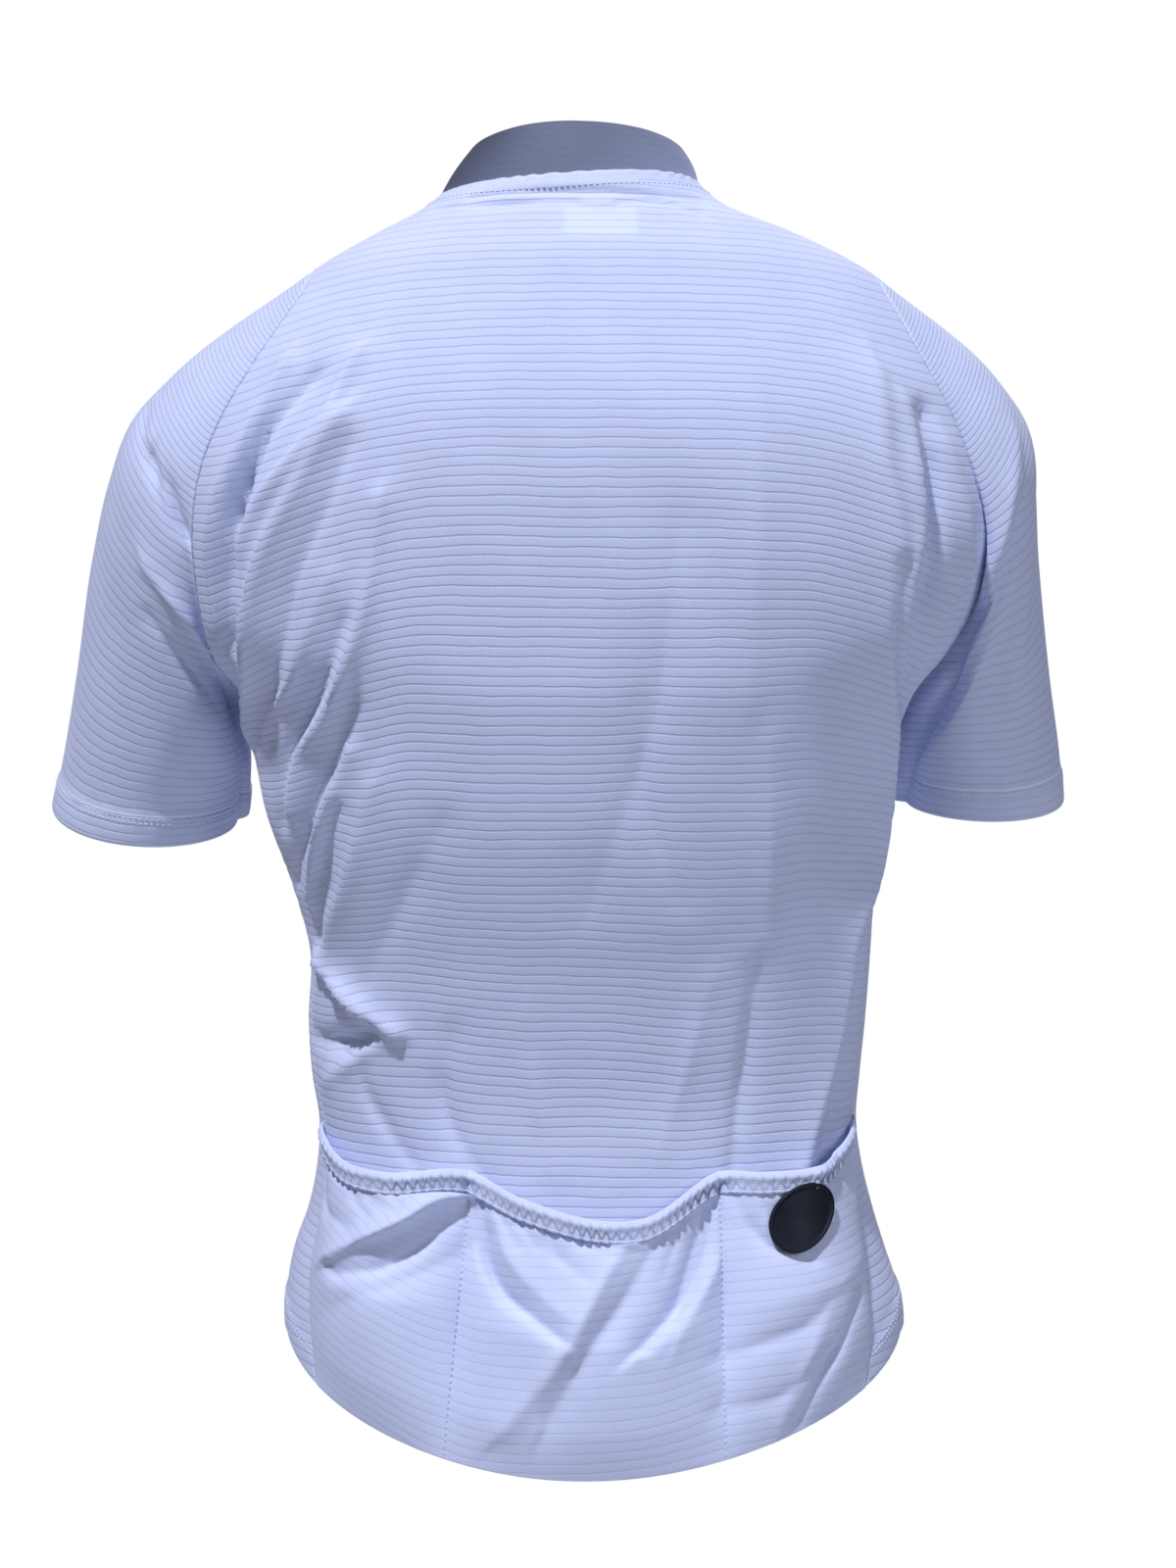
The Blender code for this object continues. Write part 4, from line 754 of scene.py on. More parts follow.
def sleeve_shape(side, hole, hole_normal):
    """Outer points, normals and cloth map of a sleeve.

    Each column is a smooth curve from an armhole point through the rings, and a ring is an ellipse
    between its outer point and its point under the arm, bowed out at front and back.
    """
    sign = 1 if side == "left" else -1
    rings = SLEEVE[side]
    share = np.linspace(0, 2 * np.pi, len(hole))
    lift = np.cos(share)[:, None]
    back = np.sin(share)[:, None]
    loops = [hole]
    for k in range(len(rings["top_x"])):
        top = np.array([sign * rings["top_x"][k], rings["middle_y"][k], rings["top_z"][k]])
        under = np.array([sign * rings["under_x"][k], rings["middle_y"][k], rings["under_z"][k]])
        deep = np.array([0, rings["half_depth"][k], -rings["back_drop"][k]])
        bow = np.array([sign * rings["bow"][k], 0, 0])
        loops.append((top + under) / 2 + (top - under) / 2 * lift + deep * back + bow * back ** 2)
    loops = np.array(loops)
    shares = edge_places(ROWS_SLEEVE, SLEEVE_DOWN)
    grid = np.stack([along(loops[:, j], shares) for j in range(len(hole))], axis=1)
    normals = grid_normals(grid, ring=True) * sign
    folds = [(*sizes, [on_grid(grid, down, turn) for down, turn in path])
             for *sizes, path in SLEEVE_FOLDS[side]]
    push = relief(grid, normals, folds) * step(shares, 0, SLEEVE_START)[:, None]
    rise = reach_from(grid, 0, True) + RIB_BEND * push
    slope = np.interp(grid[..., 2], SLEEVE_RIB_SLOPE["height"], SLEEVE_RIB_SLOPE[side])
    rise = rise - slope * (np.abs(grid[..., 0]) - SLEEVE_RIBS_AT)
    run = reach_from(grid, 1, False).max(axis=0)[None, :] * np.ones((len(grid), 1))
    cloth_map = np.stack([run, rise], axis=-1) * MM
    shape = grid + normals * push[..., None]
    from_cuff = reach_from(shape, 0, True)
    lines = reach_from(shape, 1, False)
    finish = seam_roll(reach_from(shape, 0, False), lines) + hem_lift(from_cuff)
    finish = finish + edge_round(from_cuff)
    ease = step(shares, 0, ARMHOLE_EASE)[:, None, None]
    normals = unit(normals * ease + hole_normal * (1 - ease))
    return shape + normals * finish[..., None], normals, cloth_map


def collar_shape(neck, neck_normal):
    """Outer points, normals and cloth map of the collar: straight lines from a foot that stands in
    the neck seam up to the top edge, swelled by a sine."""
    turn = np.arctan2(neck[:, 0], neck[:, 1])
    reach, height = (smooth(np.degrees(turn), COLLAR_TOP["degrees"], COLLAR_TOP[name])
                     for name in ("reach", "height"))
    top = np.stack([reach * np.sin(turn), reach * np.cos(turn), height], axis=1)
    top[0, 0] = neck[0, 0]
    top[-1, 0] = neck[-1, 0]
    base = neck - neck_normal * SEAM_SINK - unit(top - neck) * COLLAR_SUNK
    share = edge_places(ROWS_COLLAR, COLLAR_UP)[:, None, None]
    outward = unit(np.stack([top[:, 0], top[:, 1], np.zeros(len(top))], axis=1))
    grid = base * (1 - share) + top * share + COLLAR_BOW * np.sin(np.pi * share) * outward
    normal = grid_normals(grid, ring=False)
    if normal[0, len(neck) // 2, 1] < 0:
        normal = -normal
    up = reach_from(grid, 0, False)
    cloth_map = np.stack([reach_from(grid, 1, False), up - up.max(axis=0) * 0.5], axis=-1) * MM
    return grid + normal * edge_round(reach_from(grid, 0, True))[..., None], normal, cloth_map


# ---------------------------------------------------------------- pockets
def fine_row(number):
    """Place in the fine grid of a named row's number, fractions included."""
    return np.interp(number, ROWS_AT, np.arange(len(ROWS_AT)))


def along_rows(grid, where):
    """Points of a grid at fractional row places, one row of places for each row wanted."""
    low = np.clip(np.floor(where).astype(int), 0, len(grid) - 2)
    share = (where - low)[..., None]
    columns = np.arange(grid.shape[1])
    return grid[low, columns] * (1 - share) + grid[low + 1, columns] * share


def at_columns(grid, where):
    """Points of a grid at fractional column places, a row of places for each of its rows."""
    low = np.clip(np.floor(where).astype(int), 0, grid.shape[1] - 2)
    share = (where - low)[..., None]
    rows = np.arange(len(grid))[:, None]
    return grid[rows, low] * (1 - share) + grid[rows, low + 1] * share


def divider_lines(across, rise):
    """Distances across of the two side seams and the two dividers, for each row."""
    dividers = [tack + (mouth - tack) * rise for mouth, tack in zip(POCKET_DIVIDERS, POCKET_TACKS)]
    return [across[:, :1]] + dividers + [across[:, -1:]]


def pocket_stand(across, rise, lines):
    """How far the pocket cloth stands off the back: a sine from divider to divider, to a power,
    times the pocket's profile from hem to mouth."""
    lift = POCKET_BULGE * np.interp(rise, POCKET_PROFILE["up"], POCKET_PROFILE["share"])
    arch = np.zeros(across.shape)
    for outer_line, inner_line in zip(lines[:-1], lines[1:]):
        share = (across - outer_line) / (inner_line - outer_line)
        inside = (share >= 0) & (share <= 1)
        arch = np.where(inside, np.sin(np.pi * np.clip(share, 0, 1)) ** POCKET_ARCH_POWER, arch)
    return lift * arch + SEAM


def pocket_rows(back, drop):
    """Row numbers, column by column, that lie a given drop under the pockets' mouth line."""
    low, high = np.searchsorted(ROWS_AT, [ROWS_POCKET - 1, ROWS_POCKET])
    row_height = back[high, :, 2] - back[low, :, 2]
    return ROWS_POCKET - drop / row_height


def pocket_cloth(back, back_normal):
    """Inner points, normals and cloth map of the pocket panel, hem to casing: the back's own points,
    pushed out by the pockets' stand, their folds and, under the casing, its gathers. Its columns are
    closer together at the dividers."""
    top = pocket_rows(back, BAND_HEIGHT + SEAM)
    rise = edge_places(ROWS_POCKET_CLOTH, POCKET_UP)[:, None]
    where = fine_row(rise * top)
    base = along_rows(back, where)
    normal = along_rows(back_normal, where)
    lines = divider_lines(base[..., 0], rise)
    columns = []
    for outer_line, inner_line, count in zip(lines[:-1], lines[1:], COLUMNS_EACH_POCKET):
        even = np.linspace(0, 1, count + 1)[:-1]
        share = 0.55 * even + 0.45 * (0.5 - 0.5 * np.cos(np.pi * even))
        columns.append(outer_line + (inner_line - outer_line) * share)
    across = np.concatenate(columns + [lines[-1]], axis=1)
    places = np.arange(base.shape[1])
    column_at = np.stack([np.interp(-row, -line, places) for row, line in zip(across, base[..., 0])])
    base = at_columns(base, column_at)
    normal = unit(at_columns(normal, column_at))
    stand = pocket_stand(across, rise, lines) + relief(base, normal, trunk_folds("back", POCKET_FOLDS))
    under = reach_from(base, 0, True)
    run = reach_from(base, 1, False)
    beat, size = gathers(run)
    stand = stand + 0.55 * size * beat * np.exp(-under / (6 + 12 * size)) * step(under, 0, 3)
    stand = np.maximum(stand, SEAM)
    shape = base + normal * stand[..., None]
    drop = smooth(base[..., 0].ravel(), POCKET_RIB_DROP["across"], POCKET_RIB_DROP["drop"])
    ribs_up = base[..., 2] + drop.reshape(stand.shape) + RIB_BEND * (stand - SEAM) * 0.5
    return shape, normal, np.stack([reach_from(shape, 1, False), ribs_up], axis=-1) * MM


def gathers(run):
    """Beat of the elastic's gathers along a length, 0 in a valley and 1 on a ridge, and how strong
    each one is. The pitch drifts and the strength differs from gather to gather, both by sines."""
    turn = run / GATHER_PITCH + 0.28 * np.sin(run / 17.0) + 0.22 * np.sin(run / 7.3 + 1.1)
    size = 0.62 + 0.25 * np.sin(run / 11.9 + 0.6) + 0.13 * np.sin(run / 5.3)
    return np.abs(np.sin(np.pi * turn)), size


def casing_shape(back, back_normal):
    """Outer points, inner points, normals and cloth map of the elastic casing, and its creases' depth,
    also painted as shade: a rolled rim, which is a bell of the level, over a thin lower half that is
    pinched into gathers. A crease zigzags over it, up and down a straight line from each gather to the
    next."""
    level = np.linspace(0, 1, ROWS_CASING + 1)[:, None]
    number = pocket_rows(back, BAND_HEIGHT * (1 - level))
    where = fine_row(number)
    base = along_rows(back, where)
    normal = along_rows(back_normal, where)
    reach = reach_along(base[-1])
    count = int(reach[-1] / GATHER_PITCH * STEPS_EACH_GATHER)
    column_at = np.interp(np.linspace(0, reach[-1], count), reach, np.arange(len(reach)))
    column_at = column_at * np.ones((len(level), 1))
    base = at_columns(base, column_at)
    normal = unit(at_columns(normal, column_at))
    rise = number.mean(axis=1)[:, None] / ROWS_POCKET
    lines = divider_lines(base[..., 0], rise)
    stand = pocket_stand(base[..., 0], rise, lines) + BAND_CLEAR
    run = reach_from(base, 1, False)
    beat, size = gathers(run)
    rim = bell(level - CASING_LEVELS[0], CASING_LEVELS[1])
    lower = 1 - step(level, *CASING_LEVELS[2:])
    valley = beat ** (0.35 + 0.75 * (1 - level))
    knots = sum(bell(base[..., 0] - line, 4.5) for line in lines[1:3])
    thick = 0.9 + 1.5 * rim + lower * (2.3 * size * valley - 0.5) + 0.7 * size * valley * rim
    thick = thick + 1.4 * knots * rim - 0.5 * bell(level - CASING_STITCHES, 0.06)
    inner = base + normal * stand[..., None]
    outer = inner + normal * thick[..., None]
    cloth_map = np.stack([run, level * BAND_HEIGHT + 0 * run], axis=-1) * MM
    strength = np.clip(size, 0, 1)
    climb = np.arcsin(beat) * 2 / np.pi * (0.55 + 0.45 * strength)
    crease = bell(level - CREASE_TURN[0] - CREASE_TURN[1] * climb, CREASE_SPREAD)
    # The creases' strength pushes the cloth in, and the binding's colour is darkened by it as painted
    # shade.
    crease_depth_and_shade = crease * (0.4 + 0.6 * strength) * (0.75 + 0.25 * np.sin(run / 9.0))
    outer = outer - normal * (CREASE_DEEP * crease_depth_and_shade)[..., None]
    return outer, inner, normal, cloth_map, crease_depth_and_shade


def seat_on(grid, normals, across, height):
    """Points and normals of a grid's surface at distances across and heights.

    Each is the mean over the six nearest grid points of their own tangent planes, weighted by
    one over the distance squared; on a plane y changes by -(nx dx + nz dz) / ny.
    """
    flat = grid.reshape(-1, 3)
    facing = normals.reshape(-1, 3)
    place = np.stack([across.ravel(), height.ravel()], axis=1)
    away = ((flat[None, :, ::2] - place[:, None, :]) ** 2).sum(axis=2)
    away[:, facing[:, 1] < 0.1] = np.inf
    nearest = np.argpartition(away, 6, axis=1)[:, :6]
    weight = 1 / (np.take_along_axis(away, nearest, axis=1) + 0.2)
    weight = weight / weight.sum(axis=1, keepdims=True)
    point, normal = flat[nearest], facing[nearest]
    gap = place[:, None, :] - point[..., ::2]
    y = point[..., 1] - (normal[..., 0] * gap[..., 0] + normal[..., 2] * gap[..., 1]) / normal[..., 1]
    y = (y * weight).sum(axis=1)
    normal = unit((normal * weight[..., None]).sum(axis=1))
    made = np.stack([place[:, 0], y, place[:, 1]], axis=1)
    return made.reshape(across.shape + (3,)), normal.reshape(across.shape + (3,))


# ---------------------------------------------------------------- meshes
def put_mesh(name, points, faces, maps, shader):
    """A smooth mesh object from points in millimetres, quads and, where given, a map per corner."""
    faces = np.asarray(faces)
    mesh = bpy.data.meshes.new(name)
    mesh.vertices.add(len(points))
    mesh.vertices.foreach_set("co", (np.asarray(points) * MM).astype(np.float32).ravel())
    mesh.loops.add(faces.size)
    mesh.loops.foreach_set("vertex_index", faces.astype(np.int32).ravel())
    mesh.polygons.add(len(faces))
    mesh.polygons.foreach_set("loop_start", np.arange(0, faces.size, faces.shape[1], dtype=np.int32))
    mesh.polygons.foreach_set("use_smooth", np.full(len(faces), True))
    if maps is not None:
        layer = mesh.uv_layers.new(name="cloth")
        layer.data.foreach_set("uv", maps.astype(np.float32).reshape(-1, 2).ravel())
    mesh.update(calc_edges=True)
    mesh.materials.append(shader)
    made = bpy.data.objects.new(name, mesh)
    bpy.context.scene.collection.objects.link(made)
    return made


def quads(number):
    """Quads between neighbouring rows and columns of a grid of numbers."""
    corners = [number[:-1, :-1], number[:-1, 1:], number[1:, 1:], number[1:, :-1]]
    return np.stack(corners, axis=-1).reshape(-1, 4)


def shell(name, outer, inner, cloth_map, shader, ring=False):
    """A closed wall between two grids: the outer one, the inner one turned round, and a strip of
    quads along every free edge. A ring's last column is its first."""
    rows, columns = outer.shape[:2]
    used = columns - 1 if ring else columns
    number = np.arange(rows * used).reshape(rows, used)
    if ring:
        number = np.concatenate([number, number[:, :1]], axis=1)
    place = np.arange(rows * columns).reshape(rows, columns)
    half = rows * used
    edges = [
        (number[0, 1:], number[0, :-1], place[0, 1:], place[0, :-1]),
        (number[-1, :-1], number[-1, 1:], place[-1, :-1], place[-1, 1:]),
    ]
    if not ring:
        edges.append((number[:-1, 0], number[1:, 0], place[:-1, 0], place[1:, 0]))
        edges.append((number[1:, -1], number[:-1, -1], place[1:, -1], place[:-1, -1]))
    faces = [quads(number), quads(number)[:, ::-1] + half]
    maps = [quads(place), quads(place)[:, ::-1]]
    for here, there, map_here, map_there in edges:
        faces.append(np.stack([here, there, there + half, here + half], axis=1))
        maps.append(np.stack([map_here, map_there, map_there, map_here], axis=1))
    faces = np.concatenate(faces)
    maps = np.concatenate(maps)
    points = np.concatenate([outer[:, :used].reshape(-1, 3), inner[:, :used].reshape(-1, 3)])
    front = quads(number)
    a, b, c, d = (points[front[:, k]] for k in range(4))
    if np.einsum("ij,ij->", np.cross(c - a, d - b), a - points[front[:, 0] + half]) < 0:
        faces, maps = faces[:, ::-1], maps[:, ::-1]
    return put_mesh(name, points, faces, cloth_map.reshape(-1, 2)[maps], shader)


def spun(rings):
    """Points and quads of a closed form from rings of points, its two ends closed to their middles.

    The ends are rings drawn together to a thousandth of their size, then faces of two triangles.
    """
    middles = rings.mean(axis=1, keepdims=True)
    drawn = middles + (rings - middles) * 1e-3
    closed = np.concatenate([drawn[:1], rings, drawn[-1:]])
    count = rings.shape[1]
    number = np.arange(len(closed) * count).reshape(len(closed), count)
    faces = quads(np.concatenate([number, number[:, :1]], axis=1))
    half = np.arange(0, count - 2, 2)
    caps = []
    for line, order in ((number[0], 1), (number[-1], -1)):
        cap = np.stack([np.full(len(half), line[0]), line[half + 1], line[half + 2],
                        line[np.minimum(half + 3, count - 1)]], axis=1)
        caps.append(cap[:, ::-1] if order > 0 else cap)
    return closed.reshape(-1, 3), np.concatenate([faces] + caps)


def outward(points, faces):
    """The faces turned so that a closed form's volume, the sum of a . (b x c) over its triangles, is
    positive."""
    a, b, c, d = (points[faces[:, k]] for k in range(4))
    volume = np.einsum("ij,ij->", a, np.cross(b, c)) + np.einsum("ij,ij->", a, np.cross(c, d))
    return faces if volume > 0 else faces[:, ::-1]


def repeated(name, shape, faces, centres, frames, shader):
    """One mesh of many copies of a small closed form, each at a centre in its own three axes."""
    points = centres[:, None, :] + np.einsum("pk,nkd->npd", shape, frames)
    numbers = faces[None] + (np.arange(len(centres)) * len(shape))[:, None, None]
    numbers = numbers.reshape(-1, faces.shape[1])
    return put_mesh(name, points.reshape(-1, 3), numbers, None, shader)


def stitches(name, rows, shader, pitch=3.2, length=2.4, thick=0.34):
    """Rows of stitches: each is a six-sided spindle, radius thick * sqrt(1 - t^4), whose two ends
    dive into the cloth by t^2. rows holds lines of points and their outward normals."""
    t = np.array([-0.95, -0.6, 0.0, 0.6, 0.95])
    round_it = circle(6)
    radius = thick * np.sqrt(1 - t ** 4)
    rings = np.stack([
        np.repeat((t * length / 2)[:, None], 6, axis=1),
        radius[:, None] * np.cos(round_it),
        radius[:, None] * np.sin(round_it) - STITCH_DIVE * (t ** 2)[:, None],
    ], axis=-1)
    shape, faces = spun(rings)
    faces = outward(shape, faces)
    centres, frames = [], []
    for line, normal in rows:
        reach = reach_along(line)
        where = np.arange(pitch / 2, reach[-1], pitch)
        middle = at_reach(line, where)
        run = unit(at_reach(line, np.minimum(where + 0.5, reach[-1])) - at_reach(line, where - 0.5))
        up = between(where, reach, normal)
        up = unit(up - run * np.einsum("ij,ij->i", up, run)[:, None])
        centres.append(middle + up * STITCH_STAND)
        frames.append(np.stack([run, np.cross(up, run), up], axis=1))
    return repeated(name, shape, faces, np.concatenate(centres), np.concatenate(frames), shader)


def line_up(grid, normals, away, end):
    """The line, and its normals, a given length along every column from the grid's first or last row."""
    reach = reach_from(grid, 0, end)
    order = slice(None, None, -1) if end else slice(None)
    rows = np.arange(len(grid))[order]
    where = np.array([np.interp(away, column[order], rows) for column in reach.T])[None]
    return along_rows(grid, where)[0], unit(along_rows(normals, where))[0]


def line_in(grid, normals, away, end):
    """The same a given length along every row from the grid's first or last column."""
    turned, facing = grid.transpose(1, 0, 2), normals.transpose(1, 0, 2)
    return line_up(turned, facing, away, end)


# ---------------------------------------------------------------- materials
SOCKET_KINDS = {"vector": "NodeSocketVector", "value": "NodeSocketFloat", "colour": "NodeSocketColor"}


class Wiring:
    """Adds nodes to a tree and joins them. A value may be a number, a colour or a node's output."""

    def __init__(self, tree):
        self.tree = tree

    def join(self, socket, value):
        """Links a node's output to a socket, or sets the socket to a number or colour."""
        if isinstance(value, bpy.types.NodeSocket):
            self.tree.links.new(value, socket)
        else:
            socket.default_value = value

    def node(self, kind, inputs=(), **settings):
        """A node of a kind with its settings and, by name or number, its inputs."""
        made = self.tree.nodes.new(kind)
        for key, value in settings.items():
            setattr(made, key, value)
        for key, value in dict(inputs).items():
            self.join(made.inputs[key], value)
        return made

    def sum(self, operation, *values):
        """The result of one Math operation on its values."""
        return self.node("ShaderNodeMath", dict(enumerate(values)), operation=operation).outputs[0]

    def scaled(self, vector, factor):
        """A vector or colour times a number."""
        inputs = {0: vector, "Scale": factor}
        return self.node("ShaderNodeVectorMath", inputs, operation="SCALE").outputs[0]

    def split(self, vector):
        """The X, Y and Z of a vector."""
        return self.node("ShaderNodeSeparateXYZ", {0: vector}).outputs

    def ramp(self, value, low, high, to_low=0.0, to_high=1.0):
        """A smooth step of a value between two limits, t * t * (3 - 2 * t)."""
        limits = {"Value": value, "From Min": low, "From Max": high, "To Min": to_low, "To Max": to_high}
        return self.node("ShaderNodeMapRange", limits, interpolation_type="SMOOTHSTEP").outputs["Result"]

    def mix(self, share, first, second):
        """first * (1 - share) + second * share."""
        return self.node("ShaderNodeMix", {0: share, 6: first, 7: second}, data_type="RGBA").outputs[2]

    def noise(self, place, scale, detail=2.0):
        """Noise of 0 to 1 at a place, of a scale and a number of finer layers."""
        inputs = {"Vector": place, "Scale": scale, "Detail": detail}
        return self.node("ShaderNodeTexNoise", inputs).outputs["Fac"]

    def cloth_place(self):
        """The piece's own cloth map, metres across and up the cloth."""
        return self.node("ShaderNodeUVMap", uv_map="cloth").outputs[0]

    def object_place(self):
        """The place on the object, metres."""
        return self.node("ShaderNodeTexCoord").outputs["Object"]


def new_group(name, inputs, outputs):
    """A node group with named sockets: its tree, wiring, inputs by name and its output's sockets."""
    tree = bpy.data.node_groups.new(name, "ShaderNodeTree")
    for way, sockets in (("INPUT", inputs), ("OUTPUT", outputs)):
        for label, kind in sockets.items():
            tree.interface.new_socket(name=label, in_out=way, socket_type=SOCKET_KINDS[kind])
    wiring = Wiring(tree)
    return tree, wiring, wiring.node("NodeGroupInput").outputs, wiring.node("NodeGroupOutput").inputs


def rib_knit_group():
    """Ribbed knit on a cloth map in metres. A rib's height is a rounded crown, the sine of the
    distance from its groove; the groove between two ribs is broken into short dashes, where a sine
    along it is high; a fine speckle of loops lies over both. The ribs drift with a wide noise, and
    the dashes are staggered from rib to rib and wander with a finer one."""
    tree, w, given, out = new_group(
        "ribbed_knit",
        {"Place": "vector", "Rib Pitch": "value", "Groove Width": "value", "Groove Share": "value",
         "Dash Pitch": "value", "Cloth Colour": "colour", "Groove Colour": "colour"},
        {"Colour": "colour", "Height": "value"},
    )
    drift_scale, drift_size = 0.035, 2.4                        # per millimetre, millimetres
    stagger, wander_scale, wander_size = 0.37, 0.4, 0.8         # dashes, per millimetre, dashes
    place = w.scaled(given["Place"], 1000.0)
    parts = w.split(place)
    drift = w.sum("MULTIPLY", w.sum("SUBTRACT", w.noise(place, drift_scale), 0.5), drift_size)
    turn = w.sum("DIVIDE", w.sum("ADD", parts["Y"], drift), given["Rib Pitch"])
    rib = w.sum("FLOOR", turn)
    off = w.sum("ABSOLUTE", w.sum("SUBTRACT", w.sum("FRACT", turn), 0.5))
    away = w.sum("MULTIPLY", off, given["Rib Pitch"])
    inmost = w.sum("MULTIPLY", given["Groove Width"], 0.2)
    groove = w.ramp(away, inmost, given["Groove Width"], 1.0, 0.0)
    crown = w.sum("SINE", w.sum("MULTIPLY", off, math.pi))
    wander = w.sum("MULTIPLY", w.noise(place, wander_scale), wander_size)
    beat = w.sum("DIVIDE", parts["X"], given["Dash Pitch"])
    beat = w.sum("ADD", beat, w.sum("MULTIPLY", rib, stagger))
    wave = w.sum("SINE", w.sum("MULTIPLY", w.sum("ADD", beat, wander), 2 * math.pi))
    loops = w.noise(place, 1.35, 1.0)
    # The grooves' dashes take the groove colour: painted shade in the grooves, over the bump's own
    # shading.
    dark = w.sum("MULTIPLY", groove, w.sum("MULTIPLY_ADD", w.ramp(wave, -0.5, 0.4), 0.6, 0.4))
    dark = w.sum("MULTIPLY", dark, given["Groove Share"])
    speckle = w.ramp(loops, 0.3, 0.7, 0.94, 1.03)
    tone = w.ramp(w.noise(place, 0.02, 3.0), 0.3, 0.7, 0.975, 1.02)
    cloth = w.mix(dark, given["Cloth Colour"], given["Groove Colour"])
    w.join(out["Colour"], w.scaled(cloth, w.sum("MULTIPLY", speckle, tone)))
    sunk = w.sum("MULTIPLY", w.sum("MULTIPLY", groove, given["Groove Share"]), 0.55)
    height = w.sum("SUBTRACT", w.sum("MULTIPLY_ADD", crown, 0.3, 0.7), sunk)
    height = w.sum("SUBTRACT", height, w.sum("MULTIPLY", dark, 0.25))
    w.join(out["Height"], w.sum("MULTIPLY_ADD", loops, 0.16, height))
    return tree


def grain_group():
    """Fine grain of a moulded surface: a fine noise is its height, and the fine and a wide one vary
    its colour by a few per cent; the wide one varies its roughness too."""
    tree, w, given, out = new_group(
        "moulded_grain",
        {"Place": "vector", "Grain Scale": "value", "Base Colour": "colour"},
        {"Colour": "colour", "Height": "value", "Roughness": "value"},
    )
    fine = w.noise(given["Place"], given["Grain Scale"], 4.0)
    wide = w.noise(given["Place"], 90.0, 3.0)
    shade = w.sum("MULTIPLY", w.ramp(fine, 0.3, 0.7, 0.94, 1.05), w.ramp(wide, 0.3, 0.7, 0.93, 1.06))
    w.join(out["Colour"], w.scaled(given["Base Colour"], shade))
    w.join(out["Height"], fine)
    w.join(out["Roughness"], w.ramp(wide, 0.3, 0.7, 0.38, 0.55))
    return tree


def weave_group():
    """Plain weave on a cloth map in metres: its height is a smooth step of the product of two
    crossing sine waves, the second a little longer, and the threads' hollows are a little darker: painted
    shade."""
    tree, w, given, out = new_group(
        "plain_weave",
        {"Place": "vector", "Thread Pitch": "value", "Thread Colour": "colour", "Hollow Colour": "colour"},
        {"Colour": "colour", "Height": "value"},
    )
    parts = w.split(given["Place"])
    turn = w.sum("DIVIDE", 2 * math.pi / MM, given["Thread Pitch"])
    across = w.sum("SINE", w.sum("MULTIPLY", parts["X"], turn))
    along_it = w.sum("SINE", w.sum("MULTIPLY", parts["Y"], w.sum("DIVIDE", turn, 1.3)))
    cross = w.ramp(w.sum("MULTIPLY", across, along_it), -1.0, 1.0)
    # Darker colour in the threads' hollows: painted shade.
    w.join(out["Colour"], w.mix(cross, given["Hollow Colour"], given["Thread Colour"]))
    w.join(out["Height"], cross)
    return tree


def new_material(name, roughness, bump, **constants):
    """A material with its shader and, over it, a Bump node of a given depth in metres."""
    made = bpy.data.materials.new(name)
    made.use_nodes = True
    wiring = Wiring(made.node_tree)
    shader = made.node_tree.nodes["Principled BSDF"]
    wiring.join(shader.inputs["Roughness"], roughness)
    for key, value in constants.items():
        shader.inputs[key.replace("_", " ")].default_value = value
    relief_node = wiring.node("ShaderNodeBump", {"Strength": 1.0, "Distance": bump})
    wiring.join(shader.inputs["Normal"], relief_node.outputs[0])
    return made, wiring, shader, relief_node


def painted_crease_shade(w, colour):
    """A casing's colour, darker by its own attribute in the creases of its gathers: painted shade."""
    crease_depth_and_shade = w.node("ShaderNodeAttribute", attribute_name="crease_depth_and_shade").outputs["Fac"]
    # Dark blue grey in the creases: painted shade.
    return w.mix(crease_depth_and_shade, colour, (0.12, 0.14, 0.20, 1))


def hem_tint_with_highlight(w, colour):
    """A sleeve's colour: up to HEM_DEPTH its hem is paler, and along the hem's edge a light line is a
    painted highlight.
    """
    rise = w.split(w.cloth_place())["Y"]
    turned = w.ramp(rise, (HEM_DEPTH - 0.4) * MM, (HEM_DEPTH + 0.4) * MM, 0.4, 0.0)
    colour = w.mix(turned, colour, tuple(1.04 * part for part in WHITE[:3]) + (1,))
    # A light line along the hem's edge: painted highlight where the hem's step catches the light.
    away = w.sum("ABSOLUTE", w.sum("SUBTRACT", rise, HEM_DEPTH * MM))
    return w.mix(w.ramp(away, 0.2 * MM, 0.9 * MM, 0.8, 0.0), colour, (0.88, 0.94, 1.0, 1))


def label_tint(w, colour):
    """The back's colour: the label behind it shows through as a paler rectangle with a soft edge,
    a smooth step of the distance across times one of the distance up."""
    parts = w.split(w.object_place())
    cover = w.ramp(parts["Y"], 0.0, 0.01)
    for axis, centre, size in zip("XZ", LABEL_CENTRE, (LABEL_WIDTH, LABEL_HEIGHT)):
        away = w.sum("ABSOLUTE", w.sum("SUBTRACT", parts[axis], centre * MM))
        inside = w.ramp(away, (size / 2 - 2.5) * MM, (size / 2 + 1.5) * MM, 1.0, 0.0)
        cover = w.sum("MULTIPLY", cover, inside)
    return w.mix(w.sum("MULTIPLY", cover, 0.4), colour, (0.80, 0.90, 1.0, 1))


def knit_material(name, group, depth, share, pitch=5.1, width=0.8, cloth=WHITE, tint=None):
    """White knit: the rib group at its own pitch, groove width and share, then a piece's own tint:
    the label showing through, a painted highlight on a hem or painted shade in a casing's creases.
    """
    made, w, shader, bump = new_material(name, 0.82, depth, Sheen_Weight=0.12, Sheen_Roughness=0.6)
    given = {"Place": w.cloth_place(), "Rib Pitch": pitch, "Groove Width": width,
             "Groove Share": share, "Dash Pitch": 1.6, "Cloth Colour": cloth,
             "Groove Colour": GROOVE_PAINTED_SHADE}
    ribs = w.node("ShaderNodeGroup", given, node_tree=group)
    colour = ribs.outputs["Colour"]
    w.join(shader.inputs["Base Color"], tint(w, colour) if tint else colour)
    w.join(bump.inputs["Height"], ribs.outputs["Height"])
    return made


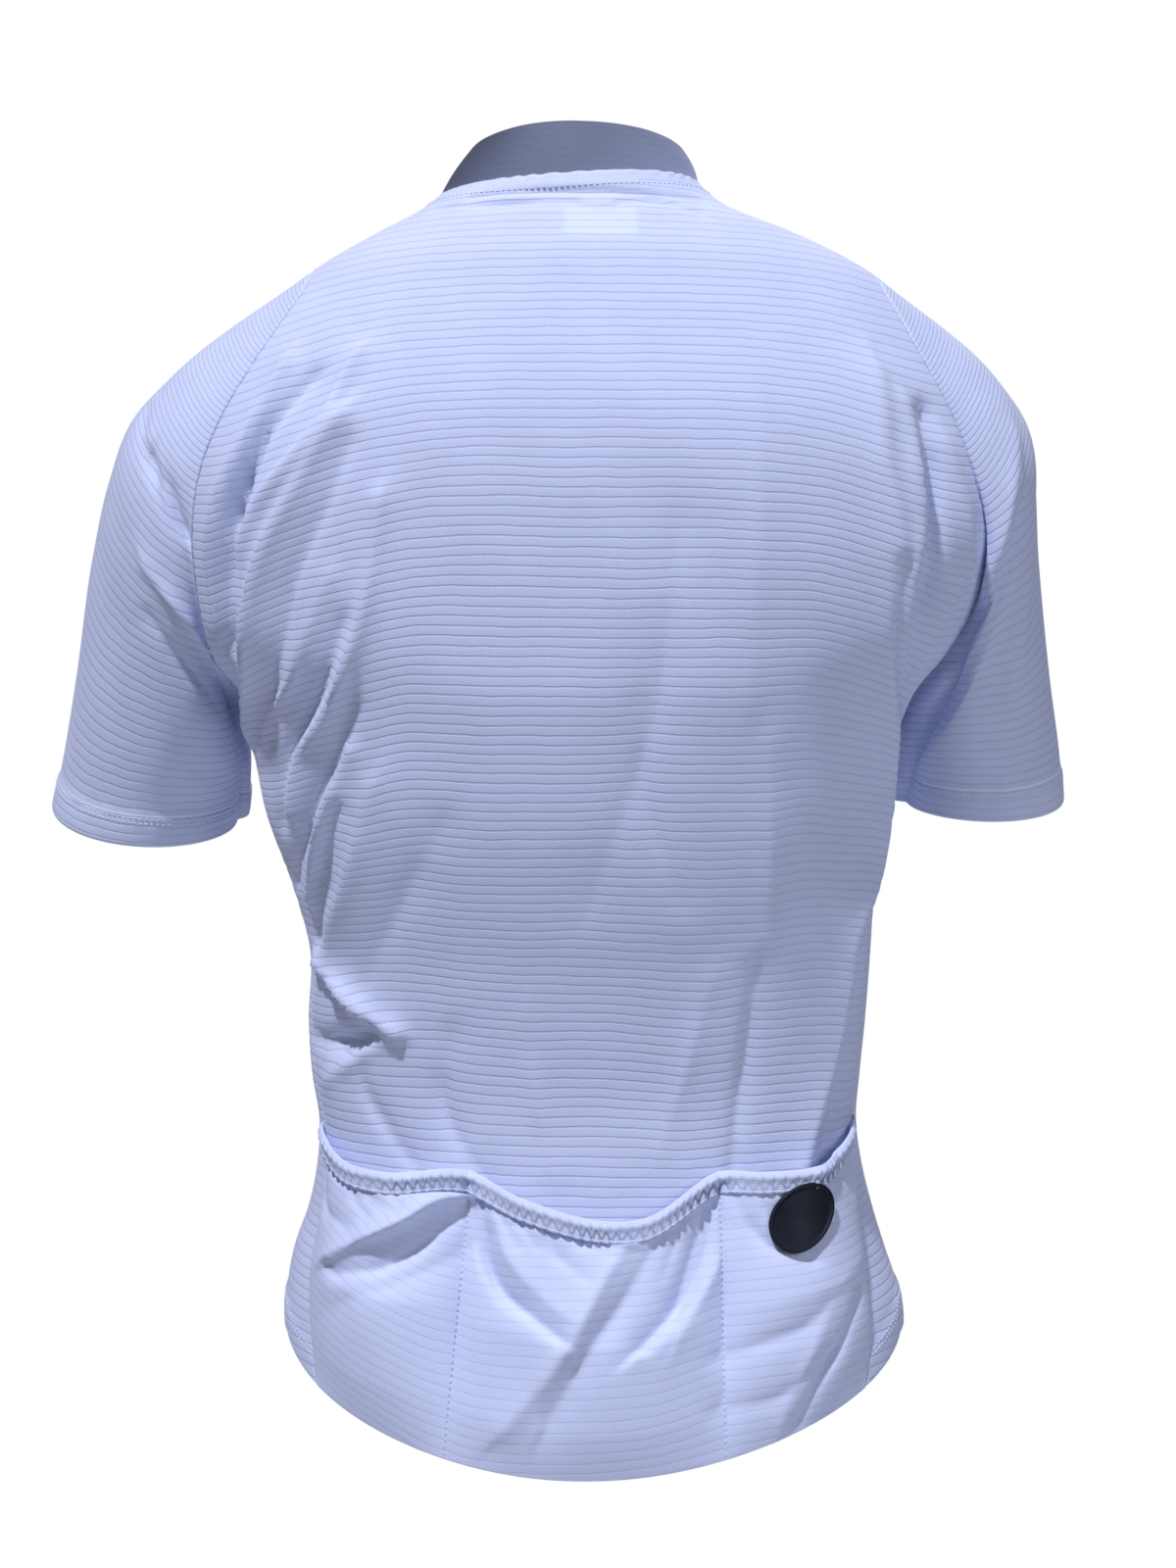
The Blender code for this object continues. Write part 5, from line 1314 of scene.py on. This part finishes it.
def grain_material(name, group, colour, scale, depth, **constants):
    """Moulded rubber or plastic: the grain group on object places."""
    made, w, shader, bump = new_material(name, 0.45, depth, **constants)
    given = {"Place": w.object_place(), "Grain Scale": scale, "Base Colour": colour}
    grain = w.node("ShaderNodeGroup", given, node_tree=group)
    w.join(shader.inputs["Base Color"], grain.outputs["Colour"])
    w.join(shader.inputs["Roughness"], grain.outputs["Roughness"])
    w.join(bump.inputs["Height"], grain.outputs["Height"])
    return made


def weave_material(name, group, colour, dark, pitch, depth, **constants):
    """Woven cloth: the weave group on its cloth map, with threads of its own pitch in millimetres."""
    made, w, shader, bump = new_material(name, 0.7, depth, **constants)
    given = {"Place": w.cloth_place(), "Thread Pitch": pitch, "Thread Colour": colour,
             "Hollow Colour": dark}
    weave = w.node("ShaderNodeGroup", given, node_tree=group)
    w.join(shader.inputs["Base Color"], weave.outputs["Colour"])
    w.join(bump.inputs["Height"], weave.outputs["Height"])
    return made


def thread_material(name, colour):
    """Polyester thread: a twist of fine noise on object places, in height and in colour."""
    made, w, shader, bump = new_material(name, 0.5, 0.00008, Sheen_Weight=0.1)
    twist = w.noise(w.object_place(), 2600.0, 1.0)
    w.join(shader.inputs["Base Color"], w.mix(twist, tuple(0.82 * c for c in colour[:3]) + (1,), colour))
    w.join(bump.inputs["Height"], twist)
    return made


def dress(piece, node=None, body="garment"):
    """The piece rides on its body and stands for its node, if it has one, which is hidden."""
    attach(piece, body)
    if node:
        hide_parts(node)
    return piece


def cloth_piece(name, outer, normal, cloth_map, shader, node, thick=WALL, ring=False):
    """A wall of even thickness under an outer surface, outer - normal * thick, for its node."""
    return dress(shell(name, outer, outer - normal * thick, cloth_map, shader, ring), node)


def closed_piece(name, points, faces, shader):
    """A closed form with its faces turned outwards and no cloth map."""
    return put_mesh(name, points, outward(points, faces), None, shader)


# ---------------------------------------------------------------- cloth
ribs = rib_knit_group()
grain = grain_group()
weave = weave_group()
knit = knit_material("white_ribbed_knit", ribs, 0.00022, 0.8)
back_knit = knit_material("white_ribbed_knit_over_label", ribs, 0.00022, 0.8, tint=label_tint)
sleeve_knit = knit_material("white_ribbed_knit_of_sleeves", ribs, 0.00022, 0.8, tint=hem_tint_with_highlight)
pocket_knit = knit_material("white_ribbed_knit_of_pockets", ribs, 0.00013, 0.45, width=0.75)
# The collar's cloth is a little bluer than WHITE: painted shade, the tint of the bluish shade it lies in.
collar_knit_in_painted_shade = knit_material("white_ribbed_knit_of_collar", ribs, 0.00012, 0.4,
                            cloth=(0.61, 0.68, 0.96, 1))
binding = knit_material("white_gathered_binding", ribs, 0.00012, 0.25, pitch=1.1, width=0.3,
                        tint=painted_crease_shade)
thread = thread_material("white_thread", (0.70, 0.76, 0.96, 1))
label_satin = weave_material("label_satin", weave, (0.72, 0.78, 0.97, 1), (0.60, 0.66, 0.84, 1),
                             0.5, 0.00006, Sheen_Weight=0.3)
tape_weave = weave_material("zip_tape_weave", weave, (0.65, 0.71, 0.92, 1), (0.49, 0.54, 0.74, 1),
                            0.7, 0.0002)
plastic = grain_material("white_moulded_plastic", grain, (0.69, 0.75, 0.93, 1), 900.0, 0.00003)
rubber = grain_material("black_moulded_rubber", grain, (0.009, 0.012, 0.020, 1), 1500.0, 0.00005,
                        Specular_IOR_Level=0.2)

ROWS_AT = row_places()
first, last = (int(np.searchsorted(ROWS_AT, row)) for row in ROW_CORNERS[1:3])
back, back_normal, back_map = trunk_panel(back_places(), "back")
fronts = {side: trunk_panel(front_places(side), "front") for side in ("left", "right")}
pieces = {}

back_rolled = rolled(back, back_normal, True, True, True)
# The turned edge at the neck shows no ribs: its cloth map keeps to the crown of one rib.
back_map[..., 1] = np.where(reach_from(back, 0, True) < NECK_TURN, 0, back_map[..., 1])
pieces["back"] = cloth_piece("back_panel_cloth", back_rolled, back_normal, back_map, back_knit,
                             "back_panel")

# A front's bottom is a turned hem; along the zip its edge is rolled in beside a line of stitches.
front_rolled = {}
for side, (front, front_normal, front_map) in fronts.items():
    body = rolled(front, front_normal, True, False, True)
    hem = hem_lift(reach_from(body, 0, False)) * step(ROWS_AT, -1, 0.2)[:, None]
    from_zip = reach_from(body, 1, True)
    hem = hem - 0.35 * bell(from_zip - ZIP_STITCHES, 0.9) - 0.4 * bell(from_zip, 0.9)
    front_rolled[side] = body + front_normal * hem[..., None]
    pieces["front_" + side] = cloth_piece("front_" + side + "_cloth", front_rolled[side], front_normal,
                                          front_map, knit, "front_" + side)

# A sleeve starts from the armhole: up the back panel's edge and down the front panel's.
sleeves = {}
for side, column, sign in (("left", 0, 1), ("right", -1, -1)):
    hole, hole_normal = (
        np.concatenate([behind[first:last + 1, column][::-1], before[first + 1:last + 1, 0]])
        for behind, before in zip((back, back_normal), fronts[side])
    )
    hole = hole + np.array([sign * ARMHOLE_GAP, 0, 0])
    sleeve, sleeve_normal, sleeve_map = sleeve_shape(side, hole, hole_normal)
    sleeves[side] = sleeve, sleeve_normal
    pieces["sleeve_" + side] = cloth_piece("sleeve_" + side + "_cloth", sleeve, sleeve_normal,
                                           sleeve_map, sleeve_knit, "sleeve_" + side, ring=True)

neck, neck_normal = (
    np.concatenate([right[-1][::-1], behind[-1][::-1][1:-1], left[-1]])
    for right, behind, left in zip(fronts["right"], (back, back_normal), fronts["left"])
)
collar, collar_normal, collar_map = collar_shape(neck, neck_normal)
pieces["collar"] = cloth_piece("collar_cloth", collar, collar_normal, collar_map, collar_knit_in_painted_shade, "collar")

pocket_inner, pocket_normal, pocket_map = pocket_cloth(back, back_normal)
pocket_outer = pocket_inner + pocket_normal * WALL
pieces["pocket"] = dress(
    shell("pocket_cloth", pocket_outer, pocket_inner, pocket_map, pocket_knit), "pocket_panel")
casing_outer, casing_inner, casing_normal, casing_map, casing_crease_depth_and_shade = casing_shape(back, back_normal)
pieces["casing"] = dress(
    shell("pocket_casing", casing_outer, casing_inner, casing_map, binding), "pocket_band")
# The creases' strength as an attribute, which darkens the binding's colour: painted shade.
crease_depth_and_shade = pieces["casing"].data.attributes.new("crease_depth_and_shade", "FLOAT", "POINT")
crease_depth_and_shade.data.foreach_set("value", np.concatenate([casing_crease_depth_and_shade.ravel(), 0 * casing_crease_depth_and_shade.ravel()]))

# Neck label, bare, on the inside of the back just below the collar. Its two ends are folded under,
# so its thickness rises from the middle to them as 1 - cos(across) ^ 0.3.
label_across = np.linspace(-0.5, 0.5, 41)
label_x, label_z = np.meshgrid(LABEL_CENTRE[0] + label_across * LABEL_WIDTH,
                               LABEL_CENTRE[1] + np.linspace(-0.5, 0.5, 19) * LABEL_HEIGHT)
label_seat, label_normal = seat_on(back, back_normal, label_x, label_z)
label_thick = LABEL_THICK - 0.45 * np.cos(label_across * np.pi) ** 0.3
label_outer = label_seat - label_normal * (WALL + LABEL_CLEAR)
label_map = np.stack([label_x, label_z], axis=-1) * MM
pieces["label"] = cloth_piece("neck_label_cloth", label_outer, label_normal, label_map, label_satin,
                              "neck_label", thick=label_thick[:, None])

# Badge: a bare oval of rubber with a raised rim, bent to the pocket it is sewn on. Each ring is a
# share of the oval and a height; the rings run over the face, round the rim and back underneath.
badge_rings = np.array([
    (0.02, 1.75), (0.3, 1.75), (0.6, 1.7), (0.8, 1.6), (0.845, 1.55), (0.87, 1.8), (0.885, 2.2),
    (0.91, 2.42), (0.935, 2.42), (0.965, 2.25), (0.985, 1.8), (0.995, 1.2), (0.985, 0.5), (0.95, 0.1),
    (0.6, 0.0), (0.02, 0.0),
])
turn = circle(96)
lean = math.radians(BADGE_LEAN_DEG)
lengthwise = BADGE_LENGTH / 2 * badge_rings[:, :1] * np.cos(turn)
sideways = BADGE_WIDTH / 2 * badge_rings[:, :1] * np.sin(turn)
local_x = -lengthwise * math.cos(lean) + sideways * math.sin(lean)
local_z = lengthwise * math.sin(lean) + sideways * math.cos(lean)
badge_seat, badge_out = seat_on(pocket_outer, pocket_normal,
                                BADGE_CENTRE[0] + local_x, BADGE_CENTRE[1] + local_z)
# The rubber takes only the cloth's broad bend: a quadric in x and z fitted to the cloth below it.
terms = np.stack([np.ones_like(local_x), local_x, local_z,
                  local_x ** 2, local_x * local_z, local_z ** 2], axis=-1)
bent = badge_seat.copy()
bent[..., 1] = terms @ np.linalg.lstsq(terms.reshape(-1, 6), badge_seat[..., 1].ravel(), rcond=None)[0]
stand = BADGE_LIFT + np.clip((badge_seat - bent)[..., 1], 0, None).max() * 0.5
badge_out = unit(badge_out.mean(axis=(0, 1), keepdims=True) + 0 * badge_out)
badge_form = spun(bent + badge_out * (stand + badge_rings[:, 1])[:, None, None])
pieces["badge"] = dress(closed_piece("badge_rubber", *badge_form, rubber), "badge")

# ---------------------------------------------------------------- zip
# A tape runs up behind a front's edge and the collar's, and ZIP_MEET short of the zip's middle; its
# outward direction is smoothed over thirteen points by a raised cosine.
edges = {}
for side, sign, column, inside in (("left", 1, -1, -1 - BESIDE), ("right", -1, 0, BESIDE)):
    front, front_normal, _ = fronts[side]
    edge = np.concatenate([front[:, -1], collar[1:, column]])
    beside = np.concatenate([front[:, -BESIDE], collar[1:, inside]])
    out = np.concatenate([front_normal[:, -1], collar_normal[1:, column]])
    kernel = np.hanning(13) / np.hanning(13).sum()
    padded = np.pad(out, ((6, 6), (0, 0)), mode="edge")
    out = unit(np.stack([np.convolve(line, kernel, mode="valid") for line in padded.T], axis=1))
    edges[side] = edge, out
    inward = np.array([-sign, 0, 0]) * (ZIP_GAP / 2 - ZIP_MEET)
    shares = np.linspace(0, 1, 9)[None, :, None]
    inner_part = (edge + inward)[:, None] * (1 - shares) + edge[:, None] * shares
    outer_part = edge[:, None] + unit(beside - edge)[:, None] * (TAPE_WIDTH - ZIP_GAP / 2) * shares
    tape = np.concatenate([inner_part[:, :-1], outer_part], axis=1) - out[:, None] * (WALL + TAPE_GAP)
    tape_map = np.stack([reach_from(tape, 1, False), reach_from(tape, 0, False)], axis=-1) * MM
    pieces["tape_" + side] = cloth_piece("zip_tape_" + side + "_weave", tape, out[:, None], tape_map,
                                         tape_weave, "zip_tape_" + side, thick=TAPE_THICK)

spine = (edges["left"][0] + edges["right"][0]) / 2
spine_out = unit(edges["left"][1] + edges["right"][1])
reach = reach_along(spine)
where = np.arange(TOOTH_PITCH / 2, reach[-1] - 2, TOOTH_PITCH / 2)
run = unit(at_reach(spine, where + 0.5) - at_reach(spine, where - 0.5))
up = unit(between(where, reach, spine_out))
hand = np.where(np.arange(len(where)) % 2 == 0, 1.0, -1.0)[:, None]
# A tooth: eight-sided rings from its foot on the tape to its head past the middle, narrower at the
# neck; each ring is a distance out, a half length along the zip and a half height.
tooth_rings = np.array([(2.9, 0.5, 0.7), (2.7, 0.75, 0.95), (1.5, 0.75, 1.0), (0.7, 0.5, 0.95),
                        (-0.2, 0.72, 0.95), (-0.75, 0.66, 0.9), (-0.95, 0.4, 0.6)])
turn = circle(8) + np.pi / 8
tooth = np.stack([
    tooth_rings[:, 1:2] * signed_power(np.cos(turn), 0.6),
    np.repeat(tooth_rings[:, :1], 8, axis=1),
    tooth_rings[:, 2:3] * signed_power(np.sin(turn), 0.6),
], axis=-1)
tooth_points, tooth_faces = spun(tooth)
tooth_faces = outward(tooth_points, tooth_faces)
frames = np.stack([run * hand, np.cross(up, run) * hand, up], axis=1)
seats = at_reach(spine, where) + up * (CHAIN_THICK / 2 - WALL)
dress(repeated("zip_teeth", tooth_points, tooth_faces, seats, frames, plastic), "zip_chain")

# Slider and pull tab stand on the hinge that the frame gives, square to the chain.
hinge = np.array(frame["record"]["behaviour"]["joints"][0]["pos_m"]) / MM
collar_middle = int(np.argmin(np.abs(edge_places(ROWS_COLLAR, COLLAR_UP) - 0.5)))
slope = unit(spine[-1] - spine[len(fronts["left"][0]) - 1 + collar_middle])
lean_frame = np.array(Matrix.Rotation(-math.atan2(slope[1], slope[2]), 3, "X"))
hinge_out = SLIDER_THICK + (ARCH_RISE - ARCH_METAL) / 2


def placed(points):
    """Points from the slider's own axes, origin on its back face, to the garment's."""
    return (points + np.array([0, hinge_out, 0])) @ lean_frame.T + hinge


def rounded(half_width, half_depth, count, power):
    """A superellipse round the origin, cos and sin to the power 2 / power: the plan of a ring."""
    turn = circle(count)
    return np.stack([half_width * signed_power(np.cos(turn), 2 / power),
                     half_depth * signed_power(np.sin(turn), 2 / power)], axis=-1)


# The slider's body: rings of superellipses, each at a share of its length, with a share of its width
# and one of its thickness.
slider_rings = []
for share, wide, thick in (
    (-0.5, 0.62, 0.55), (-0.485, 0.74, 0.8), (-0.42, 0.8, 0.95), (-0.2, 0.84, 1.0), (0.05, 0.93, 1.0),
    (0.25, 1.0, 1.0), (0.4, 0.99, 1.0), (0.47, 0.93, 0.92), (0.495, 0.82, 0.7), (0.5, 0.7, 0.5),
):
    plan = rounded(SLIDER_WIDTH / 2 * wide, SLIDER_THICK / 2 * thick, 32, 3.2)
    slider_rings.append(np.stack([plan[:, 0], plan[:, 1] - SLIDER_THICK / 2,
                                  np.full(32, share * SLIDER_LENGTH)], axis=1))
slider_points, slider_faces = spun(np.array(slider_rings))
body_piece = closed_piece("zip_slider_body", placed(slider_points), slider_faces, plastic)
dress(body_piece, "zip_slider")

# The slider's bridge: a rounded bar carried along a U that starts and ends in the body.
tall, far = ARCH_LENGTH / 2 - ARCH_METAL / 2, -SLIDER_THICK - ARCH_RISE + ARCH_METAL / 2
foot, bend = -SLIDER_THICK * ARCH_FOOT, np.linspace(0, np.pi / 2, 7)
upper = [far + ARCH_CORNER - ARCH_CORNER * np.sin(bend), tall - ARCH_CORNER + ARCH_CORNER * np.cos(bend)]
lower = [far + ARCH_CORNER - ARCH_CORNER * np.cos(bend), ARCH_CORNER - tall - ARCH_CORNER * np.sin(bend)]
path = np.concatenate([[(foot, tall)], np.transpose(upper), np.transpose(lower), [(foot, -tall)]])
forward = unit(np.gradient(path, axis=0))
aside = np.stack([-forward[:, 1], forward[:, 0]], axis=1)
plan = rounded(ARCH_WIDTH / 2, ARCH_METAL / 2, 16, 3.0)
bridge_points, bridge_faces = spun(np.stack([
    np.repeat(plan[None, :, 0], len(path), axis=0),
    path[:, :1] + aside[:, :1] * plan[None, :, 1],
    path[:, 1:] + aside[:, 1:] * plan[None, :, 1],
], axis=-1))
bridge_piece = closed_piece("zip_slider_bridge", placed(bridge_points), bridge_faces, plastic)
dress(bridge_piece, "zip_slider")

# The pull tab: a plate between an outline and a window, both superellipses, narrower at its top. At
# each of its spokes its section runs from the outline (0) to the window (1) and back, at shares of
# its half thickness.
cos, sin = np.cos(circle(96)), np.sin(circle(96))
top, end = PULL_THICK / 2, PULL_THICK / 2 - PULL_LENGTH
window_top, window_low = -PULL_THICK / 2, -PULL_THICK / 2 - PULL_WINDOW[1]
outline_z = (top + end) / 2 + (top - end) / 2 * signed_power(sin, 0.3)
outline_x = PULL_WIDTH / 2 * signed_power(cos, 0.45) * (1 - 0.3 * step(outline_z, -4.0, top))
window_x = PULL_WINDOW[0] / 2 * signed_power(cos, 0.5)
window_z = (window_top + window_low) / 2 + PULL_WINDOW[1] / 2 * signed_power(sin, 0.5)
share, level = np.array([
    (0, -0.3), (0, 0.3), (0.03, 0.46), (0.1, 0.5), (0.35, 0.5), (0.6, 0.5), (0.9, 0.5), (0.97, 0.46),
    (1, 0.3), (1, -0.3), (0.97, -0.46), (0.9, -0.5), (0.6, -0.5), (0.35, -0.5), (0.1, -0.5),
    (0.03, -0.46),
]).T
x = outline_x[:, None] * (1 - share) + window_x[:, None] * share
z = outline_z[:, None] * (1 - share) + window_z[:, None] * share
pull = np.stack([x, PULL_THICK * level * np.ones_like(x) - hinge_out, z], axis=-1)
number = np.arange(pull[..., 0].size).reshape(x.shape)
number = np.concatenate([number, number[:1]])
number = np.concatenate([number, number[:, :1]], axis=1)
pull_piece = closed_piece("zip_pull_tab", placed(pull.reshape(-1, 3)), quads(number), plastic)
dress(pull_piece, "zip_pull", body="pull_tab")

# ---------------------------------------------------------------- sewing
cuff_rows = [line_up(*sleeves[side], away, True) for side in ("left", "right") for away in HEM_STITCHES]
dress(stitches("cuff_stitches", cuff_rows, thread))

front_rows = []
for side in ("left", "right"):
    body, normal = front_rolled[side], fronts[side][1]
    front_rows += [line_up(body, normal, away, False) for away in HEM_STITCHES]
    front_rows.append(line_in(body, normal, ZIP_STITCHES, True))
dress(stitches("front_stitches", front_rows, thread))
neck_row = line_up(back_rolled, back_normal, NECK_STITCHES, True)
dress(stitches("neck_stitches", [neck_row], thread))

# Two lines along each divider, half a column to each side of it.
divider_rows = [
    ((pocket_outer[2:-2, column] + pocket_outer[2:-2, column + beside]) / 2, pocket_normal[2:-2, column])
    for column in np.cumsum(COLUMNS_EACH_POCKET)[:2] for beside in (-1, 1)
]
dress(stitches("divider_stitches", divider_rows, thread, thick=0.26))
casing_row = int(round(CASING_STITCHES * ROWS_CASING))
casing_line = casing_outer[casing_row], casing_normal[casing_row]
dress(stitches("casing_stitches", [casing_line], thread, pitch=2.7, length=2.0))

# ---------------------------------------------------------------- floor, lights, camera
paper, wiring, paper_shader, paper_bump = new_material("pale_paper_floor", 0.9, 0.0002)
mottle = wiring.noise(wiring.object_place(), 3.0, 3.0)
paper_colour = wiring.mix(mottle, (0.88, 0.88, 0.89, 1), (0.84, 0.84, 0.86, 1))
wiring.join(paper_shader.inputs["Base Color"], paper_colour)
wiring.join(paper_bump.inputs["Height"], mottle)
# A round sheet: rings of growing radius from its middle, its rim turned down.
floor_rings = np.array([(1.0, 0), (400, 0), (900, 0), (1340, 0), (1352, -1), (1358, -6), (1360, -14)])
turn = circle(96)
floor_form = spun(np.stack([
    floor_rings[:, :1] * np.cos(turn),
    floor_rings[:, :1] * np.sin(turn),
    np.repeat(FLOOR_HEIGHT + floor_rings[:, 1:], 96, axis=1),
], axis=-1))
closed_piece("paper_floor", *floor_form, paper)


def area_light(name, place, size, power, colour):
    """A square soft light at a place in metres, aimed at the garment's middle."""
    lamp = bpy.data.lights.new(name, "AREA")
    lamp.shape = "SQUARE"
    lamp.size = size
    lamp.energy = power
    lamp.color = colour
    made = bpy.data.objects.new(name, lamp)
    made.location = place
    made.rotation_euler = (Vector(MIDDLE) - Vector(place)).to_track_quat("-Z", "Y").to_euler()
    made.visible_camera = False
    bpy.context.scene.collection.objects.link(made)
    return made


key = area_light("key_high_left", (1.6, 2.3, 4.85), 0.35, 350.0, (0.86, 0.87, 1.0))
area_light("soft_right", (-2.3, 2.2, 0.9), 1.8, 38.0, (0.82, 0.86, 1.0))
area_light("soft_left", (2.4, 1.8, 0.4), 1.8, 8.0, (0.82, 0.86, 1.0))
area_light("soft_front", (-0.6, -2.2, 1.2), 2.0, 30.0, (0.88, 0.92, 1.0))
# The neck shades the collar from the high light.
shaded = bpy.data.collections.new("collar_in_shade")
shaded.objects.link(pieces["collar"])
shaded.collection_objects[0].light_linking.link_state = "EXCLUDE"
key.light_linking.receiver_collection = shaded

# The camera sees a white surround, and the garment is lit by a dim one.
world = bpy.data.worlds.new("pale_surround")
world.use_nodes = True
sky = Wiring(world.node_tree)
dim = sky.node("ShaderNodeBackground", {"Color": (0.86, 0.88, 1.0, 1), "Strength": 0.065})
pale = sky.node("ShaderNodeBackground", {"Color": (1.0, 1.0, 1.0, 1), "Strength": 1.0})
seen = sky.node("ShaderNodeLightPath").outputs["Is Camera Ray"]
both = sky.node("ShaderNodeMixShader", {0: seen, 1: dim.outputs[0], 2: pale.outputs[0]})
sky.join(world.node_tree.nodes["World Output"].inputs["Surface"], both.outputs[0])
bpy.context.scene.world = world
bpy.context.scene.view_settings.view_transform = "Standard"

camera_data = bpy.data.cameras.new("camera")
camera = bpy.data.objects.new("camera", camera_data)
bpy.context.scene.collection.objects.link(camera)
camera_data.sensor_fit = "VERTICAL"
camera_data.sensor_height = 36
camera_data.lens = 46.2
camera_data.shift_y = -0.1
camera.location = (-0.00168, 1.15, -0.2475)
camera.rotation_euler = (math.pi / 2, 0, math.pi)
bpy.context.scene.camera = camera
